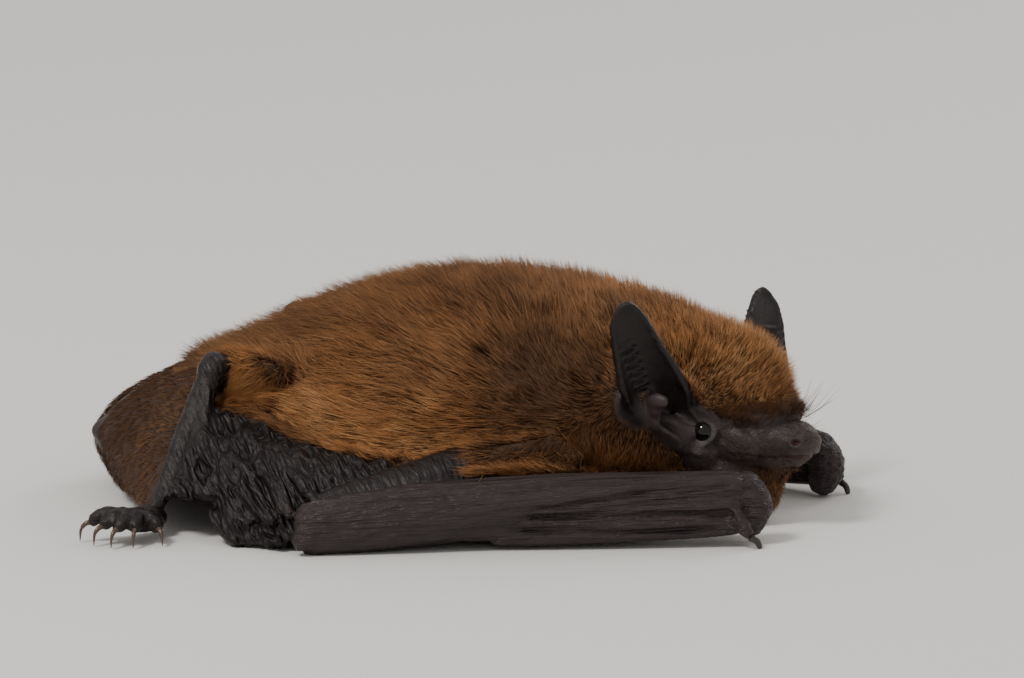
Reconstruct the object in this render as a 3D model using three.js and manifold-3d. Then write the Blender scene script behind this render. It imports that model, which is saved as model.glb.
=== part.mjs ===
// A pipistrelle bat at rest, life size, as a still museum model.
// It lies on its belly with both wings folded, the head turned a little to its right.
//
// Millimetres. +X is forward (towards the nose), +Y is the bat's left, +Z is up, and the
// floor is z = 0. The outer faces of the furred pieces are the outside of the coat.
// Every piece is its own closed solid, parted from its neighbours by a thin gap.

import * as THREE from "three";
import { mergeVertices } from "three/addons/utils/BufferGeometryUtils.js";
import Module from "manifold-3d";

const wasm = await Module();
wasm.setup();

const V = (x, y, z) => new THREE.Vector3(x, y, z);
const radians = THREE.MathUtils.degToRad;
const mix = THREE.MathUtils.lerp;
const clamp = THREE.MathUtils.clamp;

// ---------------------------------------------------------------- driving dimensions

const GAP = 0.3; // between large neighbours
const FINE_GAP = 0.2; // between small neighbours, such as a toe and its claw
const MEMBRANE = 0.7; // thickness of the smooth wing and tail membranes
const FOLDED_MEMBRANE = 1.5; // of the part that is bunched up behind the elbow

// The working frame has its origin under the shoulders. This moves it to the middle of
// the box round the whole animal.
const CENTRE = V(-0.97, 0.02, 0);

// The head's own frame has its origin at the base of the skull, with the same axes.
const HEAD = { at: V(13.2, 1.0, 7.5), yaw: -21, roll: -5 };
const MOUTH_HEIGHT = -2.45;
const EYE = { at: V(6.8, 3.6, -0.95), radius: 0.8 };
const EAR = {
  at: V(4.4, 4.0, -0.2),
  length: 9.8,
  thickness: 0.5,
  // From root to tip: half the width along the cup, and the radius that the cup bends to.
  halfWidths: [2.3, 2.7, 2.6, 2.2, 1.8, 1.6],
  radii: [1.6, 1.9, 2.1, 2.4, 3.0, 4.0],
  curl: 0.7,
};

// Each side's limbs are given for the right and mirrored for the left, whose wrist lies
// a little further forward.
const SIDES = [
  {
    name: "right",
    side: -1,
    wristShift: V(0, 0, 0),
    thumbShift: V(0, 0, 0),
    ear: { lean: 36, back: 4, turn: 38 },
  },
  {
    name: "left",
    side: 1,
    wristShift: V(2.0, -1.8, -0.4),
    thumbShift: V(0.5, -0.4, 0.4),
    ear: { lean: 35, back: 2, turn: -8 },
  },
];
const ELBOW = V(-6.4, 20.0, 1.8);
const WRIST = V(22.3, 9.4, 3.1);
const HIP = V(-13.5, 7.0, 8.0);
const KNEE = V(-15.9, 10.6, 10.9);
const ANKLE = V(-18.4, 17.0, 1.5);
const CLAW_RADIUS = 0.3;

// ---------------------------------------------------------------- materials

const finish = (color, roughness) =>
  new THREE.MeshStandardMaterial({ color, roughness, metalness: 0 });

const MATERIALS = {
  fur: finish(0x6b4021, 0.9),
  skin: finish(0x2b2424, 0.6),
  membrane: finish(0x231e1e, 0.55),
  eye: finish(0x060505, 0.08),
  claw: finish(0x4a3a2c, 0.35),
};

// Smaller steps than these, left by a cut, are smoothed away.
const FINEST = { fur: 0.05, skin: 0.03, membrane: 0.05, eye: 0.01, claw: 0.02 };

// ---------------------------------------------------------------- solids and cuts

// A closed geometry as a solid, whichever way its faces were wound.
function solidOf(geometry) {
  const bare = geometry.clone();
  bare.deleteAttribute("normal");
  bare.deleteAttribute("uv");
  const merged = mergeVertices(bare, 1e-4);
  const vertProperties = merged.attributes.position.array;
  const triVerts = new Uint32Array(merged.index.array);
  const make = () =>
    new wasm.Manifold(new wasm.Mesh({ numProp: 3, vertProperties, triVerts }));
  const made = make();
  if (made.volume() > 0) return made;
  for (let i = 0; i < triVerts.length; i += 3)
    [triVerts[i + 1], triVerts[i + 2]] = [triVerts[i + 2], triVerts[i + 1]];
  return make();
}

function geometryOf(solid) {
  const mesh = solid.getMesh();
  const positions = new Float32Array(mesh.numVert * 3);
  for (let i = 0; i < mesh.numVert; i++) {
    const from = i * mesh.numProp;
    positions.set(mesh.vertProperties.subarray(from, from + 3), i * 3);
  }
  const geometry = new THREE.BufferGeometry();
  geometry.setAttribute("position", new THREE.BufferAttribute(positions, 3));
  geometry.setIndex(new THREE.BufferAttribute(mesh.triVerts, 1));
  geometry.computeVertexNormals();
  return geometry;
}

const joined = (solids) => solids.reduce((all, next) => all.add(next));

// The largest of the bodies that a cut may leave.
const largest = (solid) =>
  solid.decompose().reduce((a, b) => (a.volume() > b.volume() ? a : b));

const moved = (solid, matrix) => solid.transform(matrix.elements);

// Everything behind a plane, as a large box whose front face is the plane.
function behind({ point, normal }, shift = 0) {
  const size = 120;
  const box = new THREE.BoxGeometry(size, size, size);
  box.translate(0, 0, shift - size / 2);
  const forward = V(0, 0, 1);
  box.applyQuaternion(
    new THREE.Quaternion().setFromUnitVectors(forward, normal.clone().normalize()),
  );
  box.translate(point.x, point.y, point.z);
  return solidOf(box);
}

const ahead = ({ point, normal }, shift) =>
  behind({ point, normal: normal.clone().negate() }, shift);

const FLOOR = behind({ point: V(0, 0, 0), normal: V(0, 0, 1) });

// ---------------------------------------------------------------- forms

// Evenly spaced values read at t from 0 to 1, on a smooth curve through them.
function along(values, t) {
  const points = values.map((value, i) => new THREE.Vector2(i, value));
  return new THREE.SplineCurve(points).getPoint(clamp(t, 0, 1)).y;
}

// A smooth curve through a few points, read at t from 0 to 1.
function through(...points) {
  const curve = new THREE.CatmullRomCurve3(points, false, "centripetal");
  return (t) => curve.getPoint(clamp(t, 0, 1));
}

// A tube with round ends along a smooth path. The half sizes are read evenly along it:
// widths to each side, heights upwards and depths downwards. grow makes a thicker copy.
function tube(form, grow = 0) {
  const { path, widths, heights = widths, depths = heights } = form;
  const { rings = 8, sides = 8, capRings = 2, capLength = 1, up = V(0, 0, 1) } = form;
  const curve = new THREE.CatmullRomCurve3(path, false, "centripetal");
  const geometry = new THREE.SphereGeometry(1, sides, rings);
  const position = geometry.attributes.position;
  for (let i = 0; i < position.count; i++) {
    const polar = Math.acos(clamp(position.getY(i), -1, 1));
    const ring = endCap(Math.round((polar / Math.PI) * rings), rings, capRings);
    const angle = Math.atan2(position.getZ(i), position.getX(i));
    const width = along(widths, ring.t) + grow;
    const height = along(heights, ring.t) + grow;
    const depth = along(depths, ring.t) + grow;
    const upward = Math.sin(angle) * (Math.sin(angle) > 0 ? height : depth);
    const reach = capLength * Math.min(width, (height + depth) / 2);
    const forward = curve.getTangent(ring.t);
    const sideways = up.clone().cross(forward).normalize();
    const upwards = forward.clone().cross(sideways);
    const place = curve.getPoint(ring.t);
    place.addScaledVector(forward, ring.beyond * reach);
    place.addScaledVector(sideways, width * ring.share * Math.cos(angle));
    place.addScaledVector(upwards, upward * ring.share);
    position.setXYZ(i, place.x, place.y, place.z);
  }
  return solidOf(geometry);
}

// Where one ring of a tube lies: t along the path, its share of the full section, and
// how far past the path's end it is, as a share of the radius.
function endCap(row, rings, capRings) {
  const fromEnd = Math.min(row, rings - row);
  const t = clamp((row - capRings) / (rings - 2 * capRings), 0, 1);
  if (fromEnd >= capRings) return { t, share: 1, beyond: 0 };
  const angle = (fromEnd / capRings) * (Math.PI / 2);
  const way = row < rings / 2 ? -1 : 1;
  return { t, share: fromEnd === 0 ? 0 : Math.sin(angle), beyond: way * Math.cos(angle) };
}

function ellipsoid({ centre, radii, sides = 20, rings = 14 }, grow = 0) {
  const geometry = new THREE.SphereGeometry(1, sides, rings);
  geometry.rotateX(Math.PI / 2);
  geometry.scale(radii.x + grow, radii.y + grow, radii.z + grow);
  geometry.translate(centre.x, centre.y, centre.z);
  return solidOf(geometry);
}

// A sheet over surface(u, v), with u and v from 0 to 1. Its thickness may vary with them.
function sheet({ surface, thickness, across, down }, grow = 0) {
  const geometry = new THREE.BoxGeometry(1, 1, 1, across, down, 1);
  const position = geometry.attributes.position;
  const step = 0.01;
  for (let i = 0; i < position.count; i++) {
    const u = position.getX(i) + 0.5;
    const v = position.getY(i) + 0.5;
    const alongU = surface(Math.min(u + step, 1), v);
    alongU.sub(surface(Math.max(u - step, 0), v));
    const alongV = surface(u, Math.min(v + step, 1));
    alongV.sub(surface(u, Math.max(v - step, 0)));
    const half = (typeof thickness === "function" ? thickness(u, v) : thickness) / 2;
    const normal = alongU.cross(alongV).normalize();
    const place = surface(u, v);
    place.addScaledVector(normal, 2 * position.getZ(i) * (half + grow));
    position.setXYZ(i, place.x, place.y, place.z);
  }
  return solidOf(geometry);
}

// ---------------------------------------------------------------- the scene graph

const animal = new THREE.Group();
const body = new THREE.Group();
const head = new THREE.Group();
body.position.copy(CENTRE).negate();
head.position.copy(HEAD.at);
head.rotation.set(radians(HEAD.roll), 0, radians(HEAD.yaw), "ZYX");
head.updateMatrix();
animal.add(body);
body.add(head);

const TO_HEAD = head.matrix.clone().invert();

// Pieces are given room in the order in which they are added: each is cut clear of the
// floor and of every piece before it. make(grow) gives a piece's whole form, in the
// body's frame, as much thicker as grow says.
const added = [];

function add(name, material, make, { gap = GAP, group = body } = {}) {
  let solid = make(0).subtract(FLOOR);
  for (const earlier of added) {
    const clearance = Math.min(gap, earlier.gap);
    if (near(solid, earlier.solid, clearance))
      solid = solid.subtract(earlier.make(clearance));
  }
  solid = largest(solid.asOriginal().simplify(FINEST[material]));
  added.push({ make, gap, solid });
  const placed = group === head ? moved(solid, TO_HEAD) : solid;
  const mesh = new THREE.Mesh(geometryOf(placed), MATERIALS[material]);
  mesh.name = name;
  group.add(mesh);
}

// Whether the boxes round two solids come within reach of each other.
function near(a, b, reach) {
  const [boxA, boxB] = [a.boundingBox(), b.boundingBox()];
  return [0, 1, 2].every(
    (axis) =>
      boxA.min[axis] < boxB.max[axis] + reach && boxB.min[axis] < boxA.max[axis] + reach,
  );
}

const addToHead = (name, material, make, gap = FINE_GAP) =>
  add(name, material, (grow) => moved(make(grow), head.matrix), { gap, group: head });

// ---------------------------------------------------------------- head

// The thick fur over the skull, and the almost bare face below it.
const CROWN = {
  path: [V(0.5, 0, 1.8), V(4.5, 0, 2.1), V(7.8, 0, 1.8), V(10.0, 0, 0.7)],
  widths: [4.9, 5.1, 4.5, 3.2],
  heights: [5.2, 5.3, 4.5, 3.1],
  depths: [4.0, 2.6, 1.9, 1.3],
  capLength: 0.8,
  rings: 10,
  sides: 13,
};
const FACE = {
  path: [V(1.0, 0, -0.6), V(4.6, 0, -0.9), V(8.2, 0, -1.1)],
  widths: [4.9, 4.4, 2.8],
  heights: [3.6, 3.5, 2.2],
  rings: 10,
  sides: 14,
};
const MUZZLE = {
  path: [V(6.6, 0, -1.15), V(10.0, 0, -1.2), V(12.3, 0, -1.3)],
  widths: [2.95, 2.5, 1.6],
  heights: [2.05, 1.6, 1.25],
  capLength: 1.3,
  rings: 10,
  sides: 14,
};
const JAW = {
  path: [V(5.4, 0, -3.2), V(9.2, 0, -3.05), V(12.0, 0, -2.85)],
  widths: [2.9, 2.1, 1.1],
  heights: [1.6, 1.4, 1.1],
  rings: 9,
  sides: 12,
};

const skull = (grow) => tube(CROWN, grow).add(tube(FACE, grow));

function eyeball(side, grow) {
  const { radius } = EYE;
  const centre = V(EYE.at.x, side * EYE.at.y, EYE.at.z);
  return ellipsoid({ centre, radii: V(radius, radius, radius), sides: 10, rings: 8 }, grow);
}

// The ear is a tall cup, open to the front and side. u goes round it from the front
// margin to the rear margin, and v from the root to the tip.
function earCup(u, v, grow) {
  const rise = Math.sin((v * Math.PI) / 2); // closer rows towards the round tip
  const radius = along(EAR.radii, rise);
  const halfWidth = along(EAR.halfWidths, rise) * Math.sqrt(1.015 - rise ** 5) + grow;
  const angle = ((2 * u - 1) * halfWidth) / radius;
  return V(
    radius * (1 - Math.cos(angle)) - EAR.curl * rise ** 2,
    radius * Math.sin(angle),
    mix(-grow, EAR.length + grow, rise),
  );
}

function earPlace({ side, ear: { lean, back, turn } }) {
  return new THREE.Matrix4()
    .makeTranslation(EAR.at.x, side * EAR.at.y, EAR.at.z)
    .multiply(new THREE.Matrix4().makeRotationX(radians(-side * lean)))
    .multiply(new THREE.Matrix4().makeRotationY(radians(-back)))
    .multiply(new THREE.Matrix4().makeRotationZ(radians(side * turn)))
    .multiply(new THREE.Matrix4().makeScale(1, side, 1));
}

// The hollow at the root of the ear, inside its cup.
function earHollow(pose) {
  const hollow = { centre: V(2.4, 0, 2.4), radii: V(1.9, 1.5, 2.6), sides: 8, rings: 6 };
  return moved(ellipsoid(hollow), earPlace(pose));
}

function ear(pose, grow) {
  const surface = (u, v) => earCup(u, v, grow);
  const form = { surface, thickness: EAR.thickness, across: 10, down: 9 };
  return moved(sheet(form, grow), earPlace(pose));
}

const tragus = (side, grow) =>
  tube(
    {
      path: [V(4.6, side * 4.3, -0.6), V(4.6, side * 5.4, 0.9), V(5.2, side * 6.0, 2.0)],
      widths: [0.62, 0.72, 0.6],
      heights: [0.3, 0.32, 0.3],
      up: V(0.6, side * 0.8, 0),
    },
    grow,
  );

// Half of the head's space, above or below the mouth line.
const besideMouth = (way, grow) =>
  behind({ point: V(0, 0, MOUTH_HEIGHT), normal: V(0, 0, -way) }, grow);

function addFace() {
  for (const { name, side } of SIDES)
    addToHead(`eye_${name}`, "eye", (grow) => eyeball(side, grow));
  for (const pose of SIDES) {
    const { name, side } = pose;
    addToHead(`tragus_${name}`, "skin", (grow) => tragus(side, grow));
    addToHead(`ear_${name}`, "skin", (grow) => ear(pose, grow));
  }
}

function addMuzzle() {
  addToHead("muzzle", "skin", (grow) =>
    tube(MUZZLE, grow).intersect(besideMouth(1, grow)),
  );
  addToHead("lower_jaw", "skin", (grow) =>
    tube(JAW, grow).add(tube(MUZZLE, grow)).intersect(besideMouth(-1, grow)),
  );
}

// ---------------------------------------------------------------- neck and trunk

const TRUNK = {
  path: [V(-16.4, 0, 5.0), V(-9, 0, 5.6), V(-1, 0, 6.0), V(6, 0, 6.2), V(12, -0.3, 6.6)],
  widths: [8.3, 11.8, 13.4, 12.6, 9.5],
  heights: [7.4, 10.2, 11.6, 11.4, 10.2],
  depths: [4.5, 5.7, 6.12, 6.3, 5.9],
  capLength: 0.9,
  rings: 14,
  sides: 19,
};
const NAPE = {
  path: [V(8, 0, 8.2), V(13.5, 0, 8.2), V(17.5, -1, 8.2)],
  widths: [10, 7.4, 5.0],
  heights: [9.0, 8.3, 6.6],
  rings: 7,
  sides: 16,
};
const THROAT = {
  path: [V(10, 0, 4.6), V(16, -0.9, 3.6), V(21.4, -2.4, 2.5)],
  widths: [8.0, 6.2, 3.2],
  heights: [5.2, 4.0, 2.3],
  rings: 7,
  sides: 12,
};

// The planes that part the trunk from the neck, and the neck from the head.
const NECK_START = { point: V(10.6, 0, 8), normal: V(1, 0, 0.05) };
const NECK_END = { point: V(16.3, -0.8, 9.2), normal: V(0.88, -0.2, 0.43) };

const torso = (grow) =>
  joined([
    ...[TRUNK, NAPE, THROAT].map((form) => tube(form, grow)),
    moved(skull(grow), head.matrix),
  ]);
const hollows = () => joined(SIDES.map((pose) => moved(earHollow(pose), head.matrix)));

function addTorso() {
  const headOf = (grow) =>
    torso(grow).intersect(ahead(NECK_END, grow)).subtract(hollows());
  add("head", "fur", headOf, { group: head });
  add("neck", "fur", (grow) =>
    torso(grow).intersect(behind(NECK_END, grow)).intersect(ahead(NECK_START, grow)),
  );
  add("trunk", "fur", (grow) => torso(grow).intersect(behind(NECK_START, grow)));
}

// ---------------------------------------------------------------- arms and hands

// A point given for the right side, on either side.
const onSide = ({ side }, { x, y, z }) => V(x, side * y, z);
const sidePath = (pose, ...points) => points.map((point) => onSide(pose, point));

// The forearm and whatever lies along it follow the wrist to its place on that side.
function handPath(pose, ...points) {
  return points.map((point) => {
    const share = clamp((point.x - ELBOW.x) / (WRIST.x - ELBOW.x), 0, 1);
    return onSide(pose, point.clone().addScaledVector(pose.wristShift, share));
  });
}

function thumbPath(pose, ...points) {
  return handPath(pose, ...points.map((point) => point.clone().add(pose.thumbShift)));
}

const upperArm = (pose, grow) =>
  tube(
    {
      path: sidePath(pose, V(9, 9, 5.6), V(1, 14.6, 4.0), V(-5.2, 18.4, 2.6)),
      widths: [2.4, 2.0, 1.5],
      heights: [2.6, 2.1, 1.6],
    },
    grow,
  );

const FOREARM = {
  along: [ELBOW, V(1.5, 16.9, 2.6), V(9.5, 14.1, 3.55), V(16, 11.8, 4.0), V(21.6, 9.8, 4.15)],
  widths: [1.25, 1.5, 1.35, 1.1, 1.0],
  heights: [1.85, 2.15, 1.6, 1.15, 1.0],
  capLength: 0.6,
  rings: 11,
  sides: 8,
};
const forearm = (pose, grow) =>
  tube({ ...FOREARM, path: handPath(pose, ...FOREARM.along) }, grow);

const wrist = (pose, grow) =>
  tube(
    {
      path: handPath(pose, V(22.2, 9.3, 3.9), V(22.7, 9.0, 2.7), V(22.4, 9.3, 1.6)),
      widths: [1.1, 1.25, 1.0],
      up: V(1, 0, 0),
    },
    grow,
  );

// The folded fingers run back from the wrist under the forearm, one above another.
const FINGERS = [
  { number: 3, start: V(21.6, 10.5, 3.0), middle: V(14, 13.1, 2.6), end: V(3, 16.9, 1.4) },
  { number: 4, start: V(21.6, 10.7, 2.2), middle: V(14, 13.3, 1.75), end: V(4, 16.3, 1.2) },
  { number: 5, start: V(21.6, 10.6, 1.5), middle: V(14, 13.1, 1.05), end: V(6, 15.6, 0.9) },
];
const FINGER_RADII = [0.5, 0.45, 0.4];
const finger = (pose, { start, middle, end }, grow) =>
  tube(
    { path: handPath(pose, start, middle, end), widths: FINGER_RADII },
    grow,
  );

const thumb = (pose, grow) =>
  tube(
    {
      path: thumbPath(pose, V(21.9, 10.8, 2.3), V(22.5, 11.3, 1.5), V(22.9, 11.1, 0.8)),
      widths: [0.6, 0.55, 0.4],
      up: V(1, 0, 0),
      rings: 7,
    },
    grow,
  );
const thumbClaw = (pose, grow) =>
  tube(
    {
      path: thumbPath(pose, V(22.9, 11.1, 0.8), V(23.3, 10.95, 0.6), V(23.5, 10.8, 0.1)),
      widths: [0.32, 0.3, 0.22],
      up: V(0, 1, 0),
      capLength: 0.6,
      rings: 7,
      sides: 6,
    },
    grow,
  );

function addArm(pose) {
  const { name } = pose;
  add(`thumb_claw_${name}`, "claw", (grow) => thumbClaw(pose, grow), { gap: FINE_GAP });
  add(`thumb_${name}`, "skin", (grow) => thumb(pose, grow), { gap: FINE_GAP });
  for (const digit of FINGERS) {
    const make = (grow) => finger(pose, digit, grow);
    add(`finger_${digit.number}_${name}`, "membrane", make, { gap: FINE_GAP });
  }
  add(`wrist_${name}`, "skin", (grow) => wrist(pose, grow));
  add(`forearm_${name}`, "skin", (grow) => forearm(pose, grow));
  add(`upper_arm_${name}`, "skin", (grow) => upperArm(pose, grow));
}

// ---------------------------------------------------------------- legs and feet

const thigh = (pose, grow) =>
  tube(
    {
      path: sidePath(pose, HIP, V(-15.2, 9.3, 10.3), KNEE),
      widths: [2.2, 1.7, 1.1],
    },
    grow,
  );

const shin = (pose, grow) =>
  tube(
    {
      path: sidePath(pose, KNEE, V(-17.2, 13.6, 6.4), ANKLE),
      widths: [1.15, 1.05, 0.8],
      up: V(1, 0, 0),
    },
    grow,
  );

// The toes arch up and out from the foot, and their claws come down to the floor.
const TOES = [
  { knuckle: V(-21.3, 19.6, 2.05), tip: V(-22.2, 20.0, 1.3) },
  { knuckle: V(-20.4, 20.2, 1.95), tip: V(-21.0, 20.9, 1.25) },
  { knuckle: V(-19.5, 20.4, 1.9), tip: V(-19.8, 21.3, 1.2) },
  { knuckle: V(-18.7, 20.0, 1.8), tip: V(-18.6, 20.9, 1.15) },
  { knuckle: V(-17.8, 19.2, 1.65), tip: V(-17.2, 19.9, 1.1) },
];

function foot(pose, grow) {
  const sole = {
    path: sidePath(pose, ANKLE, V(-19.1, 18.1, 1.35), V(-19.5, 18.9, 1.6)),
    widths: [0.85, 1.1, 1.2],
    heights: [0.85, 0.7, 0.6],
  };
  const toes = TOES.map(({ knuckle, tip }) => ({
    path: sidePath(pose, V(-19.3, 18.7, 1.6), knuckle, tip),
    widths: [0.5, 0.42, 0.36],
    rings: 6,
    sides: 5,
  }));
  return joined([sole, ...toes].map((form) => tube(form, grow)));
}

function toeClaw(pose, { knuckle, tip }, grow) {
  const outward = tip.clone().sub(knuckle).setZ(0).setLength(0.4);
  const middle = tip.clone().add(outward).setZ(tip.z * 0.75);
  const end = tip.clone().addScaledVector(outward, 0.9).setZ(CLAW_RADIUS / 3);
  const form = {
    path: sidePath(pose, tip, middle, end),
    widths: [CLAW_RADIUS, CLAW_RADIUS, 0.7 * CLAW_RADIUS],
    up: onSide(pose, outward),
    capLength: 0.6,
    rings: 6,
    sides: 5,
  };
  return tube(form, grow);
}

function addLeg(pose) {
  const { name } = pose;
  TOES.forEach((toe, i) => {
    const make = (grow) => toeClaw(pose, toe, grow);
    add(`toe_claw_${i + 1}_${name}`, "claw", make, { gap: FINE_GAP });
  });
  add(`foot_${name}`, "skin", (grow) => foot(pose, grow), { gap: FINE_GAP });
  add(`shin_${name}`, "skin", (grow) => shin(pose, grow), { gap: FINE_GAP });
  add(`thigh_${name}`, "skin", (grow) => thigh(pose, grow));
}

// ---------------------------------------------------------------- tail and membranes

const TAIL_LINE = [V(-18.5, 0, 9.0), V(-23.8, 0, 6.9), V(-27.6, 0, 3.8), V(-26.4, 0, 1.0)];
const tail = (grow) =>
  tube({ path: TAIL_LINE, widths: [1.1, 0.8, 0.55, 0.4], rings: 10 }, grow);

// The tail membrane hangs from the tail to the shin on each side, u from the tail to the
// shin and v from the rump to the free edge.
function tailMembrane(pose, grow) {
  const tailSide = through(...TAIL_LINE);
  const shinSide = through(
    onSide(pose, V(-15.6, 7.6, 9.4)),
    onSide(pose, V(-17.4, 12.8, 5.6)),
    onSide(pose, V(-18.8, 16.4, 1.6)),
  );
  const surface = (u, v) => {
    const place = tailSide(v).lerp(shinSide(v), u);
    place.x -= 1.6 * Math.sin(Math.PI * u) * Math.sin(Math.PI * v);
    place.z += 0.8 * Math.sin(Math.PI * u) * (1 - v);
    return place;
  };
  return sheet({ surface, thickness: 1.1, across: 7, down: 6 }, grow);
}

// How many folds the arm membrane has along it and down it, and how deep they are.
const FOLDS = { along: 2.6, down: 1.6, depth: 0.32 };

// The arm membrane is bunched in folds between the shin, the flank and the elbow. u runs
// from the shin to the forearm and v from the flank down.
function armMembrane(pose, grow) {
  const at = (x, y, z) => onSide(pose, V(x, y, z));
  const upper = through(at(-14.6, 8.6, 8.6), at(-9.0, 10.8, 6.6), at(1.5, 12.6, 4.9));
  const middle = through(at(-16.4, 13.4, 6.4), at(-10.5, 15.8, 5.2), at(-3.0, 17.0, 4.2));
  const lower = through(
    at(-17.2, 16.2, 2.6),
    at(-15.0, 16.9, 3.3),
    at(-13.4, 17.9, 2.6),
    at(-12.0, 18.8, 0.7),
    at(-7.6, 19.2, 0.7),
  );
  const surface = (u, v) => {
    const place = through(upper(u), middle(u), lower(u))(v);
    const fold = Math.sin(2 * Math.PI * (FOLDS.along * u + FOLDS.down * v));
    place.y += pose.side * FOLDS.depth * fold * Math.sin(Math.PI * u);
    return place;
  };
  const thickness = (u, v) => mix(MEMBRANE, FOLDED_MEMBRANE, Math.sin(Math.PI * u) * v);
  return sheet({ surface, thickness, across: 13, down: 7 }, grow);
}

// The front membrane lies folded between the shoulder and the forearm.
function frontMembrane(pose, grow) {
  const inner = through(...sidePath(pose, V(-2, 11.6, 3.8), V(6, 10.6, 3.4), V(15, 7.0, 3.4)));
  const outer = through(...handPath(pose, V(0, 16.6, 4.2), V(9, 13.6, 4.1), V(18, 10.8, 4.1)));
  const surface = (u, v) => inner(u).lerp(outer(u), v);
  return sheet({ surface, thickness: MEMBRANE, across: 7, down: 2 }, grow);
}

function addMembranes(pose) {
  const { name } = pose;
  const gap = FINE_GAP;
  add(`tail_membrane_${name}`, "fur", (grow) => tailMembrane(pose, grow), { gap });
  add(`arm_membrane_${name}`, "membrane", (grow) => armMembrane(pose, grow), { gap });
  add(`front_membrane_${name}`, "membrane", (grow) => frontMembrane(pose, grow), { gap });
}

addFace();
addTorso();
addMuzzle();
add("tail", "fur", tail);
SIDES.forEach(addArm);
SIDES.forEach(addLeg);
SIDES.forEach(addMembranes);

animal.updateMatrixWorld(true);
export default animal;
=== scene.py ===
"""The looks of a pipistrelle bat at rest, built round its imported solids.

One skin covers all the flesh. The coat, eyes, claws and whiskers are pieces of their own.
+X is forward, +Y is the bat's left, +Z is up and the floor is z = 0. Places and lengths in
the arrays are in millimetres; a mesh is turned to metres when it is made.
"""

import itertools
import math

import bmesh
import bpy
import numpy as np
from bpy.props import (
    FloatProperty,
    FloatVectorProperty,
    IntProperty,
    PointerProperty,
)
from mathutils import Euler, Matrix, Vector
from mathutils.bvhtree import BVHTree


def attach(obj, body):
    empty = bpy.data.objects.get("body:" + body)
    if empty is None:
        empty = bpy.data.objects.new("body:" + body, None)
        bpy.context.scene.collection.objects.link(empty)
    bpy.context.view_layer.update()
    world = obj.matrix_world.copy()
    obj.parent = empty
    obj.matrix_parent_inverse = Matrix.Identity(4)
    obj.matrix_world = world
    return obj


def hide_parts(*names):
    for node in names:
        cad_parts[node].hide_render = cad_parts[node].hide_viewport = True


bl_info = {
    "name": "Pipistrelle bat",
    "version": (1, 0, 0),
    "blender": (4, 5, 0),
    "location": "View3D > Sidebar > Bat",
    "description": "Builds a resting pipistrelle bat's skin, coat, eyes and claws",
    "category": "Object",
}

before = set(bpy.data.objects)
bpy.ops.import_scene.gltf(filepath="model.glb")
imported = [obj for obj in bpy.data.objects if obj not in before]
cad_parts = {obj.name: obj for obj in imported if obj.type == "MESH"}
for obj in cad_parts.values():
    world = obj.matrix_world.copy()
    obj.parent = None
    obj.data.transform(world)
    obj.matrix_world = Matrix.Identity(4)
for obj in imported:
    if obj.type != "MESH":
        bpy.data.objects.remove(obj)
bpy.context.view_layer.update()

MM = 0.001
SEED, SHORT_SEED, WHISKER_SEED = 7, 57, 97

# ------------------------------------------------------------------ places

# The head has its own frame, with its origin at the base of the skull and the same axes.
HEAD_AT = Vector((14.17, 0.98, 7.5))
HEAD_TURN = Euler((math.radians(-5), 0, math.radians(-21)))
HEAD = Matrix.Translation(HEAD_AT) @ HEAD_TURN.to_matrix().to_4x4()
EYE_AT = (6.8, 3.6, -0.95)
EYE_RADIUS = 0.84
GAZE = np.array((0.25, 0.95, 0.12)) / np.linalg.norm((0.25, 0.95, 0.12))
MOUTH_HEIGHT = -2.45
NOSTRIL_AT, NOSE_TIP = (13.0, 1.3, -1.2), (13.7, 0, -1.3)
EAR_AT = (4.36, 5.29, 0.22)
EAR_LENGTH = 9.8
# Each side: its sign in y, and the ear's lean outwards, its lean back and its turn.
SIDES = {"right": (-1, (36.9, -2.8, 48)), "left": (1, (34.6, 10.7, -22.5))}
# From root to tip: the ear's width along its cup, before and behind its middle, and the
# radius the cup bends to.
EAR_FRONT = (2.1, 2.6, 2.15, 1.56, 1.35, 1.22)
EAR_REAR = (2.09, 2.69, 2.78, 2.35, 2.21, 2.25)
EAR_RADII = (2.5, 2.6, 2.6, 2.8, 3.2, 4.0)
EAR_CURL = 0.7
EAR_WALL, EAR_RIM = 0.17, 0.15  # half the ear's thickness, and how much more at its rim
EAR_RIDGES = {"right": 0.2, "left": 0.08}  # how high the ridges inside each ear are
RIDGE_SPACING = 0.66
EAR_BEND = 2.6  # the cup's radius where the ridges are
EAR_HOLLOW = [(1.4, 0, 0.2), (1.9, 0, 2.4)]  # the middle of its open side, in its own frame
ELBOW, WRIST = (-5.4, -20.0, 1.8), (23.3, -9.4, 3.1)  # of the right arm
ARM_WAY = np.subtract(WRIST, ELBOW)
WING_WAY = (0.53, -0.50, -0.68)  # the way the folds of the right wing run

FLESH = [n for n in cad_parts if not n.startswith("eye_") and "claw" not in n]
CLAWS = [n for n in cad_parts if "claw" in n]


def moved(points, matrix):
    """Points carried by a 4 x 4 matrix."""
    m = np.array(matrix)
    return points @ m[:3, :3].T + m[:3, 3]


def turned(vectors, matrix):
    """Directions turned by a matrix."""
    return vectors @ np.array(matrix)[:3, :3].T


def ear_frame(side_name):
    """The ear's own frame: x from its back to its open side, z from its root to its tip."""
    side, (lean, back, turn) = SIDES[side_name]
    place = Matrix.Translation((EAR_AT[0], side * EAR_AT[1], EAR_AT[2]))
    place = place @ Matrix.Rotation(math.radians(-side * lean), 4, "X")
    place = place @ Matrix.Rotation(math.radians(-back), 4, "Y")
    place = place @ Matrix.Rotation(math.radians(side * turn), 4, "Z")
    return HEAD @ place @ Matrix.Diagonal((1, side, 1, 1))


def in_head(points):
    """Points as places in the head's own frame."""
    return moved(points, HEAD.inverted())


def head_spot(place, side):
    """A place of the head's frame, on one side, in metres in the model's frame."""
    return HEAD @ Vector((place[0], side * place[1], place[2])) * MM


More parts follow.
